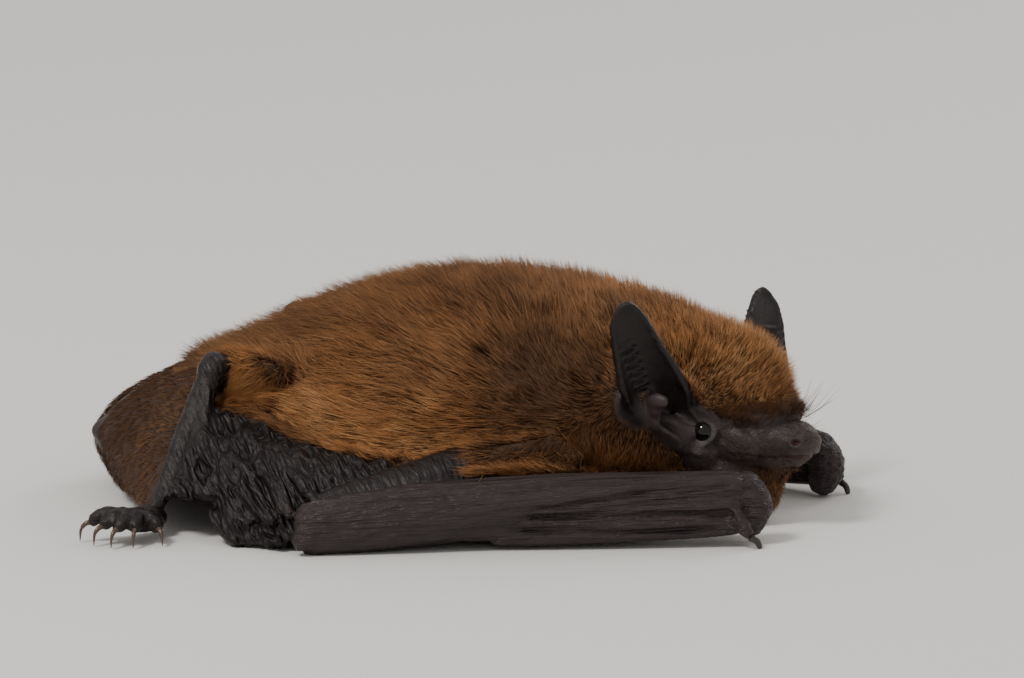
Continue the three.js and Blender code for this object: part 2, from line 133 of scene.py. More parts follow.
def sided(points, side):
    """Right-side points where side is 1, and their mirror image where it is -1."""
    return np.array(points, float) * (1, side, 1)


def brought_to(side, points):
    """Points with those of the other side mirrored on to this one, -1 or 1."""
    return np.stack([points[:, 0], side * abs(points[:, 1]), points[:, 2]], 1)


def far_from(place, points):
    """How far each point is from a place."""
    return np.linalg.norm(points - place, axis=1)


# ------------------------------------------------------------------ number helpers


def smooth_step(low, high, values):
    """0 below low and 1 above high, with a smooth rise between them."""
    t = np.clip((values - low) / (high - low), 0, 1)
    return t * t * (3 - 2 * t)


def unit(vectors):
    return vectors / np.maximum(np.linalg.norm(vectors, axis=1, keepdims=True), 1e-9)


def corners_of(t):
    """The corners of a cell, each with how much it counts at the places t in the cell."""
    for corner in itertools.product((0, 1), repeat=3):
        x, y, z = abs(1 - np.array(corner) - t).T
        yield corner, x * y * z


def noise(points, size, seed=0):
    """Smooth noise from -1 to 1, with bumps about size mm across."""
    cells = 24  # after which it repeats
    table = np.random.default_rng(seed).uniform(-1, 1, (cells, cells, cells))
    place = points / size + 100.0
    corner = np.floor(place).astype(int)
    t = place - corner
    t = t * t * (3 - 2 * t)
    total = np.zeros(len(points))
    for offset, weight in corners_of(t):
        x, y, z = ((corner + offset) % cells).T
        total += weight * table[x, y, z]
    return total


def near_line(points, line):
    """Each point's distance to a line through a few places, and its share along it."""
    line = np.array(line, float)
    best = np.full(len(points), 1e9)
    share = np.zeros(len(points))
    for i in range(len(line) - 1):
        a, b = line[i], line[i + 1]
        along = np.clip((points - a) @ (b - a) / ((b - a) @ (b - a)), 0, 1)
        distance = np.linalg.norm(points - a - along[:, None] * (b - a), axis=1)
        closer = distance < best
        best = np.where(closer, distance, best)
        share = np.where(closer, (i + along) / (len(line) - 1), share)
    return best, share


def bell(distance, width):
    """1 at no distance, falling to nothing past about twice the width."""
    return np.exp(-((distance / width) ** 2))


# ------------------------------------------------------------------ mesh helpers


def mesh_arrays(mesh):
    """A mesh's points in mm and its edges."""
    points = np.empty(len(mesh.vertices) * 3)
    mesh.vertices.foreach_get("co", points)
    edges = np.empty(len(mesh.edges) * 2, dtype=np.int64)
    mesh.edges.foreach_get("vertices", edges)
    return points.reshape(-1, 3) / MM, edges.reshape(-1, 2)


def mesh_normals(mesh, points):
    """Puts a mesh's points where these are, in mm, and returns its normals there."""
    mesh.vertices.foreach_set("co", (points * MM).ravel())
    mesh.update()
    normals = np.empty(len(points) * 3)
    mesh.vertex_normals.foreach_get("vector", normals)
    return normals.reshape(-1, 3)


def averaged(values, edges):
    """The mean of each point's neighbours."""
    flat = values.reshape(len(values), -1)
    a, b = edges[:, 0], edges[:, 1]
    count = np.bincount(a, minlength=len(flat)) + np.bincount(b, minlength=len(flat))
    total = np.empty_like(flat)
    for k in range(flat.shape[1]):
        total[:, k] = np.bincount(a, flat[b, k], len(flat))
        total[:, k] += np.bincount(b, flat[a, k], len(flat))
    return (total / np.maximum(count, 1)[:, None]).reshape(values.shape)


def softened(values, edges, rounds, keep_volume=False):
    """Values smoothed over the mesh. With keep_volume, every second round swells back."""
    for i in range(rounds):
        share = -0.53 if keep_volume and i % 2 else 0.5
        values = values + share * (averaged(values, edges) - values)
    return values


def made_mesh(name, bm):
    """A new mesh of what is in bm, which is freed."""
    mesh = bpy.data.meshes.new(name)
    bm.to_mesh(mesh)
    bm.free()
    return mesh


def linked(name, data):
    """A new object of the scene."""
    made = bpy.data.objects.new(name, data)
    bpy.context.scene.collection.objects.link(made)
    return made


def finished(name, mesh, material, node_names=()):
    """Makes a finished mesh a piece of the bat, shown in place of the nodes it stands for."""
    mesh.materials.clear()
    mesh.materials.append(material)
    mesh.polygons.foreach_set("use_smooth", np.ones(len(mesh.polygons), bool))
    piece = linked(name, mesh)
    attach(piece, "root")
    if node_names:
        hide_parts(*node_names)


def set_attribute(mesh, name, values):
    layer = mesh.attributes.get(name) or mesh.attributes.new(name, "FLOAT", "POINT")
    layer.data.foreach_set("value", values.astype(np.float32))


# ------------------------------------------------------------------ material helpers


class Nodes:
    """A material's node tree, with short ways to add nodes and join them."""

    def __init__(self, name):
        self.material = bpy.data.materials.new(name)
        self.material.use_nodes = True
        self.tree = self.material.node_tree
        self.shader = self.tree.nodes["Principled BSDF"]

    def put(self, socket, value):
        """Links another socket to this one, or sets its value. A colour has three parts."""
        if isinstance(value, bpy.types.NodeSocket):
            self.tree.links.new(value, socket)
        elif socket.type == "RGBA":
            socket.default_value = (*value, 1)
        else:
            socket.default_value = value

    def set(self, **values):
        """Puts values on the shader's sockets; an underscore stands for a space."""
        for key, value in values.items():
            self.put(self.shader.inputs[key.replace("_", " ")], value)

    def add(self, kind, inputs=None, **settings):
        """A new node, with settings of its own and values or links on its inputs."""
        node = self.tree.nodes.new("ShaderNode" + kind)
        for key, value in settings.items():
            setattr(node, key, value)
        for key, value in (inputs or {}).items():
            self.put(node.inputs[key], value)
        return node

    def attribute(self, name):
        return self.add("Attribute", attribute_name=name).outputs["Fac"]

    def mix(self, factor, a, b):
        """A mix of two colours."""
        node = self.add("Mix", data_type="RGBA")
        for index, value in ((0, factor), (6, a), (7, b)):
            self.put(node.inputs[index], value)
        return node.outputs[2]

    def math(self, operation, a, b=0.0, clamp=False):
        return self.add("Math", {0: a, 1: b}, operation=operation, use_clamp=clamp).outputs[0]

    def times(self, a, b, clamp=False):
        return self.math("MULTIPLY", a, b, clamp)

    def plus(self, a, b):
        return self.math("ADD", a, b)

    def minus(self, a, b, clamp=False):
        return self.math("SUBTRACT", a, b, clamp)

    def noise(self, vector, scale, detail=2.0, roughness=0.5):
        inputs = {"Vector": vector, "Scale": scale, "Detail": detail, "Roughness": roughness}
        return self.add("TexNoise", inputs).outputs["Fac"]


# ------------------------------------------------------------------ settings


def shade(name, description, default):
    """A setting that is a colour."""
    return FloatVectorProperty(
        name=name, description=description, subtype="COLOR", default=default
    )


def measure(name, description, default):
    """A setting that is a length, in metres."""
    return FloatProperty(name=name, description=description, unit="LENGTH", default=default)


class BatStage(bpy.types.PropertyGroup):
    floor_colour: shade("Floor colour", "Colour of the plain floor", (0.79, 0.775, 0.75))
    key_power: FloatProperty(
        name="Key light", description="Power of the large soft lamp", unit="POWER", default=2.3
    )
    fill_strength: FloatProperty(
        name="Fill light", description="Strength of the light from all round", default=0.66
    )
    camera_distance: measure("Camera distance", "From the middle of the bat", 0.42)
    focal_length: FloatProperty(
        name="Focal length", description="Of the camera, in millimetres", default=205.2
    )


class BatSkin(bpy.types.PropertyGroup):
    grain: measure("Grain", "Size of the skin's smallest facets", 0.00015)
    fold_depth: measure("Fold depth", "Depth of the folds in the bunched wing skin", 0.00028)
    colour: shade("Skin colour", "Of the bare face, arms and legs", (0.037, 0.0252, 0.0252))
    # Paler grains of the skin, partly its own colour and partly painted glints on the pebbles
    grain_and_glint_colour: shade(
        "Pale grain and glint colour", "Of the paler grains of the skin", (0.058, 0.042, 0.039)
    )
    # Pale lid rims, painted brighter on their upper side as a highlight of the lit fold
    lid_and_highlight_colour: shade("Lid and highlight colour", "Of the rims of the eyelids", (0.09, 0.074, 0.074))
    nostril_colour: shade(
        "Nostril colour", "Of the nostrils and the line of the lips", (0.06, 0.014, 0.012)
    )
    wing_colour: shade("Wing colour", "Of the wing membranes and ears", (0.0068, 0.004, 0.0038))
    under_coat: shade(
        "Skin under the coat", "What shows between the hairs", (0.058, 0.029, 0.015)
    )


class BatCoat(bpy.types.PropertyGroup):
    body_depth: measure("Body coat depth", "From the skin to the outside of the coat", 0.0023)
    head_depth: measure("Head coat depth", "From the skin to the outside of the coat", 0.0018)
    thigh_depth: measure("Thigh coat depth", "From the skin to the outside of the coat", 0.0009)
    hair_width: measure("Hair width", "Width of one tuft where it is widest", 0.000046)
    tufts: IntProperty(
        name="Tufts", description="In each piece of the long coat", default=26000
    )
    root_colour: shade("Root colour", "Dark base of the hairs", (0.046, 0.021, 0.010))
    tip_colour: shade("Tip colour", "Brown ends of the hairs", (0.48, 0.192, 0.056))
    # Greyer tips, most of all along the top of the back: partly the coat's own tone, partly a
    # painted sheen where the light falls on it
    grey_and_sheen_colour: shade(
        "Grey and sheen tip colour", "Greyer ends of the hairs along the back", (0.245, 0.138, 0.07)
    )
    pale_colour: shade("Pale tip colour", "The palest tips", (0.74, 0.42, 0.185))


class BatEyes(bpy.types.PropertyGroup):
    colour: shade("Eye colour", "Of the dark eyeball", (0.006, 0.004, 0.004))


class BatClaws(bpy.types.PropertyGroup):
    colour: shade("Toe claw colour", "Of the toes' pale horn", (0.075, 0.05, 0.035))
    thumb_colour: shade("Thumb claw colour", "Of the thumbs' dark horn", (0.03, 0.022, 0.018))


SETTINGS = {
    "bat_stage": BatStage,
    "bat_skin": BatSkin,
    "bat_coat": BatCoat,
    "bat_eyes": BatEyes,
    "bat_claws": BatClaws,
}


# ------------------------------------------------------------------ stage

# Where the camera looks, and how far round from the bat's right side and how far up it is.
CAMERA_TARGET = Vector((3.39, 2.76, 11.39)) * MM
AZIMUTH, ELEVATION = math.radians(14.0), math.radians(10.5)
LAMP_TARGET = Vector((0, 0, 0.006))
# The lamps, in metres: their place, their size and their share of the key light's power.
LAMPS = {"key": ((-0.20, -0.34, 0.50), 0.16, 1.0), "rim": ((0.25, 0.45, 0.35), 0.25, 0.35)}
LAMP_COLOUR, SKY_COLOUR = (1.0, 0.97, 0.93), (1.0, 0.975, 0.95)
FLOOR_SIZE = 3.0


def facing(way):
    """The rotation of a camera or lamp that looks in a direction."""
    return way.to_track_quat("-Z", "Y").to_euler()


class BAT_OT_stage(bpy.types.Operator):
    """Sets up the plain floor, the soft light and the camera"""

    bl_idname = "bat.stage"
    bl_label = "Stage"

    def execute(self, context):
        settings = context.scene.bat_stage
        self.floor(settings)
        self.lights(settings)
        self.camera(settings)
        return {"FINISHED"}

    def floor(self, settings):
        bm = bmesh.new()
        bmesh.ops.create_grid(bm, x_segments=1, y_segments=1, size=FLOOR_SIZE)
        floor = linked("floor", made_mesh("floor", bm))
        nodes = Nodes("floor")
        nodes.set(Base_Color=settings.floor_colour, Roughness=0.85)
        floor.data.materials.append(nodes.material)

    def lights(self, settings):
        world = bpy.data.worlds.new("soft_light")
        world.use_nodes = True
        background = world.node_tree.nodes["Background"]
        background.inputs["Color"].default_value = (*SKY_COLOUR, 1)
        background.inputs["Strength"].default_value = settings.fill_strength
        bpy.context.scene.world = world
        for name, (place, size, share) in LAMPS.items():
            data = bpy.data.lights.new(name, "AREA")
            data.shape = "DISK"
            data.size = size
            data.energy = settings.key_power * share
            data.color = LAMP_COLOUR
            lamp = linked(name, data)
            lamp.location = place
            lamp.rotation_euler = facing(LAMP_TARGET - Vector(place))

    def camera(self, settings):
        level = math.cos(ELEVATION)
        toward = Vector(
            (-math.sin(AZIMUTH) * level, math.cos(AZIMUTH) * level, -math.sin(ELEVATION))
        )
        data = bpy.data.cameras.new("camera")
        data.lens = settings.focal_length
        data.sensor_width = 36
        data.clip_start = 0.01
        camera = linked("camera", data)
        camera.location = CAMERA_TARGET - toward * settings.camera_distance
        camera.rotation_euler = facing(toward)
        bpy.context.scene.camera = camera


# ------------------------------------------------------------------ skin

SWELL = 0.2  # closes the gaps between the solids before they are made one
LIMB_SWELL = SWELL + 0.05
BODY_GRAIN = 0.3  # facets of the body before it is drawn in
DRAWING_STEPS = 5  # in which it is drawn in
EAR_REACH = 0.35  # how far from an ear's sheet the skin still is the ear's
COATED = ("head", "neck", "trunk", "thigh_right", "thigh_left")
SKIN_TRIANGLES = 192000
COATED_TRIANGLES = 56000  # of those, under the long coat
# Rounds of smoothing for nodes whose names start so, the rounds elsewhere, and the rounds
# at which the smoothed shapes are taken.
SMOOTHING = {
    "ear": 22, "tragus": 8, "forearm": 24, "finger": 14, "thumb": 14, "toe": 10,
    "foot": 12, "wrist": 20, "shin": 24, "tail": 16, "arm": 20, "upper": 30,
}
SMOOTHEST = 70
LEVELS = (6, 14, 30, SMOOTHEST)

# The long folds of the bunched wing on the right side, and their radii.
WING_FOLDS = [
    ([(-14.9, -12.6, 9.4), (-15.3, -14.6, 6.4), (-16.2, -17.4, 2.8)], 0.62),
    ([(-14.8, -12.2, 9.8), (-14.7, -14.3, 6.9), (-14.9, -16.6, 4.2), (-15.2, -17.6, 3.0)], 0.7),
    ([(-14.7, -12.3, 9.0), (-13.9, -14.6, 6.2), (-12.4, -17.4, 3.5), (-10.4, -18.6, 1.5)], 0.6),
    ([(-14.2, -12.1, 8.4), (-12.4, -14.9, 6.1), (-10.5, -17.7, 3.9), (-8.2, -19.4, 1.9)], 0.58),
    ([(-13.5, -12.0, 7.8), (-11.0, -15.0, 5.8), (-8.7, -17.6, 4.1), (-6.8, -19.6, 2.6)], 0.6),
    ([(-12.4, -12.4, 7.2), (-9.4, -15.3, 5.5), (-6.8, -17.5, 4.4), (-5.2, -18.9, 3.6)], 0.55),
    ([(-10.8, -12.9, 6.7), (-7.5, -15.6, 5.2), (-4.3, -17.4, 4.5)], 0.5),
    ([(-8.6, -13.3, 6.2), (-5.0, -15.6, 5.0), (-1.6, -16.9, 4.6)], 0.45),
    ([(-12.9, -17.4, 2.0), (-10.6, -18.7, 0.9), (-7.4, -20.0, 0.8)], 0.6),
]
# Furrows and ridges along the folded arm on the right side: places, height and width.
ARM_LINES = [
    ([(8.5, -16.1, 2.9), (13.9, -14.2, 3.6), (16.5, -13.2, 4.0), (21.0, -11.3, 4.5)], -0.42, 0.2),
    ([(11.0, -15.2, 3.6), (13.9, -14.2, 3.95), (16.5, -13.2, 4.35)], 0.1, 0.25),
    ([(16.5, -13.3, 3.75), (19.5, -12.1, 4.0), (22.6, -10.9, 4.5)], -0.24, 0.13),
    ([(8.0, -16.3, 2.5), (13.8, -14.0, 2.4), (20.4, -11.7, 2.4), (22.9, -11.3, 2.4)], -0.4, 0.22),
    ([(6.5, -16.8, 2.3), (13.8, -14.1, 3.05), (20.4, -11.8, 3.1)], 0.12, 0.3),
    ([(7.2, -16.4, 2.0), (17.2, -13.0, 1.85), (23.0, -11.7, 1.85)], 0.24, 0.16),
    ([(7.2, -16.3, 1.5), (17.2, -12.9, 1.35), (22.5, -11.5, 1.3)], -0.3, 0.2),
    ([(3.6, -17.7, 4.3), (4.2, -17.8, 3.6), (4.9, -17.6, 2.9)], -0.08, 0.09),
    ([(6.4, -16.4, 4.9), (7.3, -16.4, 4.0), (8.4, -16.1, 3.3)], -0.09, 0.09),
]
# Rounded forms that fill out the face between the solids, in the head's frame: middle and
# radii. The other side mirrors them. The first is the ball that the lids are opened from.
FACE_FORMS = [
    (EYE_AT, (EYE_RADIUS + 0.2,) * 3),
    ((6.9, 3.0, -0.2), (1.5, 1.0, 0.8)),
    ((8.1, 2.0, -1.5), (2.6, 1.5, 1.6)),
    ((9.8, 1.4, -0.8), (1.8, 1.15, 1.0)),
    ((12.3, 0.75, -1.3), (1.2, 0.85, 0.85)),
    ((10.6, 0.6, -2.4), (2.3, 1.2, 0.7)),
    ((5.4, 3.2, -2.4), (2.4, 1.7, 1.6)),
    ((4.8, 4.9, -1.2), (1.8, 1.15, 1.4)),
    ((5.45, 7.7, 1.35), (0.92, 0.32, 0.56)),
    ((5.15, 7.5, 0.9), (0.6, 0.3, 0.75)),
    ((4.95, 7.2, 0.3), (0.5, 0.32, 1.2)),
]
KNEE, KNEE_RADIUS = (-14.93, -10.58, 10.9), 0.98  # of the right leg
# Fills the hollow between the right thigh and the flank: middle and radii.
THIGH_FORM = ((-12.2, -9.6, 10.2), (2.2, 1.3, 2.4))
THIGH_POCKET = (-11.5, -9.7, 11.0)  # where the long coat runs on into that hollow
# The sharp outer edge of the tail membrane, on the right side.
TAIL_CORNER, TAIL_CURVE = (-26.3, -2.2, 4.3), (-25.6, -4.0, 2.8)
TAIL_EDGE = [(-22.9, -2.0, 7.6), (-24.9, -2.7, 5.9), TAIL_CORNER, TAIL_CURVE]
TAIL_EDGE += [(-23.9, -5.4, 1.3), (-22.6, -6.3, 0.2)]
# The corner of the elbow, on the right side.
ELBOW_CORNER = [(-4.4, -20.0, 2.6), (-5.3, -20.5, 1.6), (-5.9, -20.8, 0.7)]
ELBOW_RADII = (0.9, 1.0, 0.55)
FOLD_PROFILE = (0.6, 1.0, 1.15, 1.0, 0.7)  # a wing fold's thickness from end to end


def add_solids(bm, names, swell=0.0, rounded=0):
    """Adds some nodes' solids to bm, swollen by so many mm and rounded so many times.

    Returns the name of the node that each of the new faces is from.
    """
    parts = bmesh.new()
    owners = []
    for name in names:
        part = bmesh.new()
        part.from_mesh(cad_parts[name].data)
        bmesh.ops.remove_doubles(part, verts=part.verts, dist=0.002 * MM)
        for vert in part.verts:
            vert.co += vert.normal * swell * MM
        owners += [name] * len(part.faces)
        add_bmesh(parts, part)
    if rounded:
        holder = linked("helper", made_mesh("helper", parts))
        modifier = holder.modifiers.new("round", "SUBSURF")
        modifier.levels = modifier.render_levels = rounded
        add_mesh(bm, evaluated_mesh(holder))
    else:
        add_bmesh(bm, parts)
    return owners


def add_mesh(bm, mesh):
    """Adds a mesh that isn't needed afterwards to bm."""
    bm.from_mesh(mesh)
    bpy.data.meshes.remove(mesh)


def add_bmesh(bm, other):
    add_mesh(bm, made_mesh("part", other))


def add_face_forms(bm):
    """Adds the rounded forms of the face on both sides."""
    forms = bmesh.new()
    for middle, radii in FACE_FORMS:
        for side, _ in SIDES.values():
            place = HEAD @ Matrix.Translation((middle[0], side * middle[1], middle[2]))
            place = Matrix.Scale(MM, 4) @ place @ Matrix.Diagonal((*radii, 1))
            bmesh.ops.create_icosphere(forms, subdivisions=3, radius=1, matrix=place)
    add_bmesh(bm, forms)


def add_ear(bm, side_name):
    """Adds a finer ear than the solid: a cup with a thick rim."""
    across, up = 49, 61
    u, v = np.meshgrid(np.linspace(0, 1, across), np.linspace(0, 1, up), indexing="ij")
    rise = np.sin(v * math.pi / 2)
    steps = np.linspace(0, 1, len(EAR_RADII))
    radius = np.interp(rise, steps, EAR_RADII)
    front, rear = np.interp(rise, steps, EAR_FRONT), np.interp(rise, steps, EAR_REAR)
    width = np.where(u < 0.5, front, rear) * np.sqrt(1.015 - rise**5)
    angle = (2 * u - 1) * width / radius
    depth = radius * (1 - np.cos(angle)) - EAR_CURL * rise**2
    sheet = np.stack([depth, radius * np.sin(angle), EAR_LENGTH * rise], -1)
    normals = np.cross(np.gradient(sheet, axis=0), np.gradient(sheet, axis=1))
    normals = unit(normals.reshape(-1, 3)).reshape(sheet.shape)
    normals *= np.sign(normals[across // 2, 2, 0])
    margin = np.maximum(bell(abs(2 * u - 1) - 1, 0.12), bell(rise - 1, 0.05))
    wall = normals * (EAR_WALL + EAR_RIM * margin)[..., None]
    layers = np.stack([sheet + wall, sheet - wall]).reshape(-1, 3)
    verts = [bm.verts.new(point) for point in moved(layers, ear_frame(side_name)) * MM]

    def at(layer, i, j):
        return verts[layer * across * up + i * up + j]

    for i in range(across - 1):
        for j in range(up - 1):
            around = ((i, j), (i + 1, j), (i + 1, j + 1), (i, j + 1))
            for layer, way in ((0, -1), (1, 1)):
                bm.faces.new([at(layer, *corner) for corner in around][::way])
    # the rim closes the gap between the two layers all the way round
    ring = [(i, 0) for i in range(across)] + [(across - 1, j) for j in range(1, up)]
    ring += [(i, up - 1) for i in range(across - 2, -1, -1)]
    ring += [(0, j) for j in range(up - 2, 0, -1)]
    for a, b in zip(ring, ring[1:] + ring[:1]):
        bm.faces.new([at(0, *a), at(0, *b), at(1, *b), at(1, *a)])


def evaluated_mesh(holder):
    """The mesh of a helper object with its modifiers applied. The helper is removed."""
    graph = bpy.context.evaluated_depsgraph_get()
    mesh = bpy.data.meshes.new_from_object(holder.evaluated_get(graph))
    raw = holder.data
    bpy.data.objects.remove(holder)
    bpy.data.meshes.remove(raw)
    return mesh


def remeshed(bm, grain):
    """One closed mesh round everything in bm, with facets of about grain metres."""
    holder = linked("helper", made_mesh("helper", bm))
    modifier = holder.modifiers.new("remesh", "REMESH")
    modifier.mode = "VOXEL"
    modifier.voxel_size = grain
    return evaluated_mesh(holder)


def solids_tree(names):
    """For finding the nearest place on the solids of some nodes, and which node it is on.

    The finer ears stand in for the solid ones.
    """
    bm = bmesh.new()
    owners = add_solids(bm, [name for name in names if not name.startswith("ear_")])
    for name in names:
        if name.startswith("ear_"):
            add_ear(bm, name.removeprefix("ear_"))
            owners += [name] * (len(bm.faces) - len(owners))
    tree = BVHTree.FromBMesh(bm)
    bm.free()
    return tree, np.array(owners)


def distances(points, names):
    """Each point's distance in mm to the solids of some nodes, and the nearest node."""
    tree, owners = solids_tree(names)
    found = [tree.find_nearest(point) for point in points * MM]
    return np.array([f[3] for f in found]) / MM, owners[[f[2] for f in found]]


def nearest_nodes(points):
    """The node of the flesh that each point is on. An ear has only what is close to it."""
    ears = [name for name in FLESH if name.startswith("ear_")]
    gap, ear = distances(points, ears)
    _, owner = distances(points, [name for name in FLESH if name not in ears])
    return np.where(gap < EAR_REACH, ear, owner)


def named(owner, *starts):
    """Which of the points are on nodes whose names start in one of these ways."""
    return np.any([np.char.startswith(owner, start) for start in starts], axis=0)


def shares(owner, edges, rounds):
    """A function that gives how far the points are on some nodes, from 0 to 1."""
    return lambda *starts: softened(named(owner, *starts).astype(float), edges, rounds)


def furred_head(points):
    """How far the head's coat reaches, from 0 on the bare face to 1, by places in mm.

    It covers the crown above a line that rises to the nose, all behind the ears and the throat.
    """
    x, y, z = in_head(points).T
    edge = 0.5 + 0.75 * smooth_step(9.5, 12.5, x)
    crown = smooth_step(-0.2, 0.7, z - edge)
    behind = 1 - smooth_step(1.8, 3.0, x - 0.8 * np.clip(abs(y) - 4.6, 0, 2))
    low = 4.0 - 0.9 * smooth_step(8.0, 10.0, x)
    below = smooth_step(low, low + 0.7, -z) * (1 - smooth_step(11.8, 13.0, x))
    return np.maximum(np.maximum(crown, behind), below)


def body_under_coat(coat):
    """The coated nodes as one rounded mesh, drawn in by the depth of the coat.

    Returns the mesh, and a tree for finding the nearest place outside the coat.
    """
    bm = bmesh.new()
    add_solids(bm, COATED, SWELL)
    fillers = bmesh.new()
    middle, radii = THIGH_FORM
    for side in (1, -1):
        place = Matrix.Translation(sided(middle, side)) @ Matrix.Diagonal((*radii, 1))
        place = Matrix.Scale(MM, 4) @ place
        bmesh.ops.create_icosphere(fillers, subdivisions=3, radius=1, matrix=place)
    add_bmesh(bm, fillers)
    mesh = remeshed(bm, BODY_GRAIN * MM)
    outside = bmesh.new()
    outside.from_mesh(mesh)
    outside_tree = BVHTree.FromBMesh(outside)
    outside.free()
    points, edges = mesh_arrays(mesh)
    _, owner = distances(points, COATED)
    bare_nodes = [name for name in FLESH if name not in (*COATED, "tail")]
    to_limbs, _ = distances(points, bare_nodes)
    cover = np.where(owner == "head", furred_head(points), 1.0)
    cover = cover * (0.12 + 0.88 * smooth_step(0.3, 3.0, to_limbs))
    cover = cover * smooth_step(-0.6, 2.6, points[:, 2])
    kinds = [owner == "head", named(owner, "thigh")]
    deep = np.select(kinds, [coat.head_depth, coat.thigh_depth], coat.body_depth) / MM + SWELL
    depth = softened(cover * deep, edges, 36)
    # smoothed most where the coat hides the shape, and a little everywhere
    for rounds, share in ((70, smooth_step(0.2, 1.2, depth)), (10, np.ones(len(depth)))):
        share = softened(share, edges, 6)[:, None]
        points = points + share * (softened(points, edges, rounds, True) - points)
    for _ in range(DRAWING_STEPS):
        normals = unit(softened(mesh_normals(mesh, points), edges, 14))
        points = points - normals * (depth / DRAWING_STEPS)[:, None]
        points = points + 0.5 * (averaged(points, edges) - points) * (depth > 0.4)[:, None]
    mesh_normals(mesh, points)
    return mesh, outside_tree


def add_wing_folds(bm):
    """Adds the long folds from the knee and the flank to the floor, the elbows and knees."""
    folds = bmesh.new()
    for side in (1, -1):
        for places, radius in WING_FOLDS:
            add_tube(folds, sided(places, side), [radius * r for r in FOLD_PROFILE])
        add_tube(folds, sided(ELBOW_CORNER, side), ELBOW_RADII)
        ball = Matrix.Translation(Vector(KNEE) * MM)
        ball.translation.y *= side
        bmesh.ops.create_icosphere(folds, subdivisions=3, radius=KNEE_RADIUS * MM, matrix=ball)
    add_bmesh(bm, folds)


def add_tube(bm, places, radii, sides=10, steps=14):
    """Adds a closed tube through a few places in mm. Its radii are spread along it."""
    course = curved(np.array(places, float), steps)
    forward = unit(np.gradient(course, axis=0))
    side = unit(np.cross(forward, (0.31, 0.22, 0.93)))
    upward = np.cross(side, forward)
    radius = np.interp(np.linspace(0, 1, steps), np.linspace(0, 1, len(radii)), radii)
    turn = (2 * math.pi * np.arange(sides) / sides)[None, :, None]
    ring = np.cos(turn) * side[:, None] + np.sin(turn) * upward[:, None]
    points = course[:, None] + ring * radius[:, None, None]
    rows = [[bm.verts.new(point) for point in row * MM] for row in points]
    for a, b in zip(rows, rows[1:]):
        for i in range(sides):
            j = (i + 1) % sides
            bm.faces.new((a[i], a[j], b[j], b[i]))
    for end, way in ((0, -1), (-1, 1)):
        tip = bm.verts.new((course[end] + way * (forward[end] * radius[end] * 0.7)) * MM)
        for i in range(sides):
            pair = (rows[end][i], rows[end][(i + 1) % sides])
            bm.faces.new((*pair[::way], tip))


def curved(places, count):
    """Even steps along a smooth line through a few places."""
    padded = np.vstack([2 * places[0] - places[1], places, 2 * places[-1] - places[-2]])
    share = np.linspace(0, len(places) - 1, count)
    low = np.minimum(share.astype(int), len(places) - 2)
    t = (share - low)[:, None]
    a, b, c, d = (padded[low + k] for k in range(4))
    return 0.5 * (
        2 * b + (c - a) * t + (2 * a - 5 * b + 4 * c - d) * t**2 + (3 * b - a - 3 * c + d) * t**3
    )


def whole_flesh(settings, coat):
    """All the flesh as one fine mesh.

    Returns its mesh, points in mm, edges and nearest nodes, and the outside of the coat.
    """
    bm = bmesh.new()
    body, outside = body_under_coat(coat)
    add_mesh(bm, body)
    add_wing_folds(bm)
    limbs = [n for n in FLESH if n not in COATED and not n.startswith(("ear_", "tragus"))]
    add_solids(bm, limbs, LIMB_SWELL, rounded=2)
    for name in SIDES:
        add_ear(bm, name)
    add_face_forms(bm)
    mesh = remeshed(bm, settings.grain)
    points, edges = mesh_arrays(mesh)
    owner = nearest_nodes(points)
    wanted = np.full(len(points), float(SMOOTHEST))
    for start, count in SMOOTHING.items():
        wanted[named(owner, start)] = count
    wanted = softened(wanted, edges, 8)
    more = np.diff((0, *LEVELS))
    shapes = [points := softened(points, edges, count, True) for count in more]
    share = np.interp(wanted, LEVELS, range(len(LEVELS)))
    low = np.minimum(share.astype(int), len(LEVELS) - 2)
    shapes, place = np.array(shapes), np.arange(len(points))
    t = (share - low)[:, None]
    points = (1 - t) * shapes[low, place] + t * shapes[low + 1, place]
    thin = named(owner, "ear")
    smooth = softened(thin.astype(float), edges, 4)[:, None]
    points = points + smooth * (softened(points, edges, 6) - points)
    swollen = softened((~np.isin(owner, COATED) & ~thin).astype(float), edges, 4)
    points = points - mesh_normals(mesh, points) * (0.8 * SWELL * swollen)[:, None]
    return *refined(mesh), outside


def refined(mesh):
    """The mesh with its facets halved round the eyes and nostrils, as whole_flesh gives it."""
    bm = bmesh.new()
    bm.from_mesh(mesh)
    for spot, reach in ((EYE_AT, 1.9), (NOSTRIL_AT, 1.0)):
        for side, _ in SIDES.values():
            centre = head_spot(spot, side)
            close = [e for e in bm.edges if (e.verts[0].co - centre).length < reach * MM]
            bmesh.ops.subdivide_edges(bm, edges=close, cuts=1, use_grid_fill=True, smooth=0.3)
    bmesh.ops.triangulate(bm, faces=[f for f in bm.faces if len(f.verts) > 4])
    bm.to_mesh(mesh)
    bm.free()
    points, edges = mesh_arrays(mesh)
    return mesh, points, edges, nearest_nodes(points)


def ridged(nodes, place, way, size, stretch):
    """Fine creases that run along a direction, size mm apart, from 0 to 1."""
    way = Vector(way).normalized()
    first = way.orthogonal().normalized()
    axes = ((way, stretch), (first, 1.0), (way.cross(first), 1.0))
    parts = []
    for axis, share in axes:
        inputs = {0: place, 1: tuple(axis * share / (size * MM))}
        product = nodes.add("VectorMath", inputs, operation="DOT_PRODUCT")
        parts.append(product.outputs["Value"])
    turned_place = nodes.add("CombineXYZ", dict(enumerate(parts))).outputs[0]
    wave = nodes.minus(nodes.noise(turned_place, 1.0, 2.0), 0.5)
    return nodes.minus(1.0, nodes.times(nodes.math("ABSOLUTE", wave), 5.0), True)


# The scale of the skin's patterns, in features to the metre.
BLOTCHES, PEBBLES, PORES, FINE_GRAIN = 900.0, 3800.0, 5600.0, 9000.0


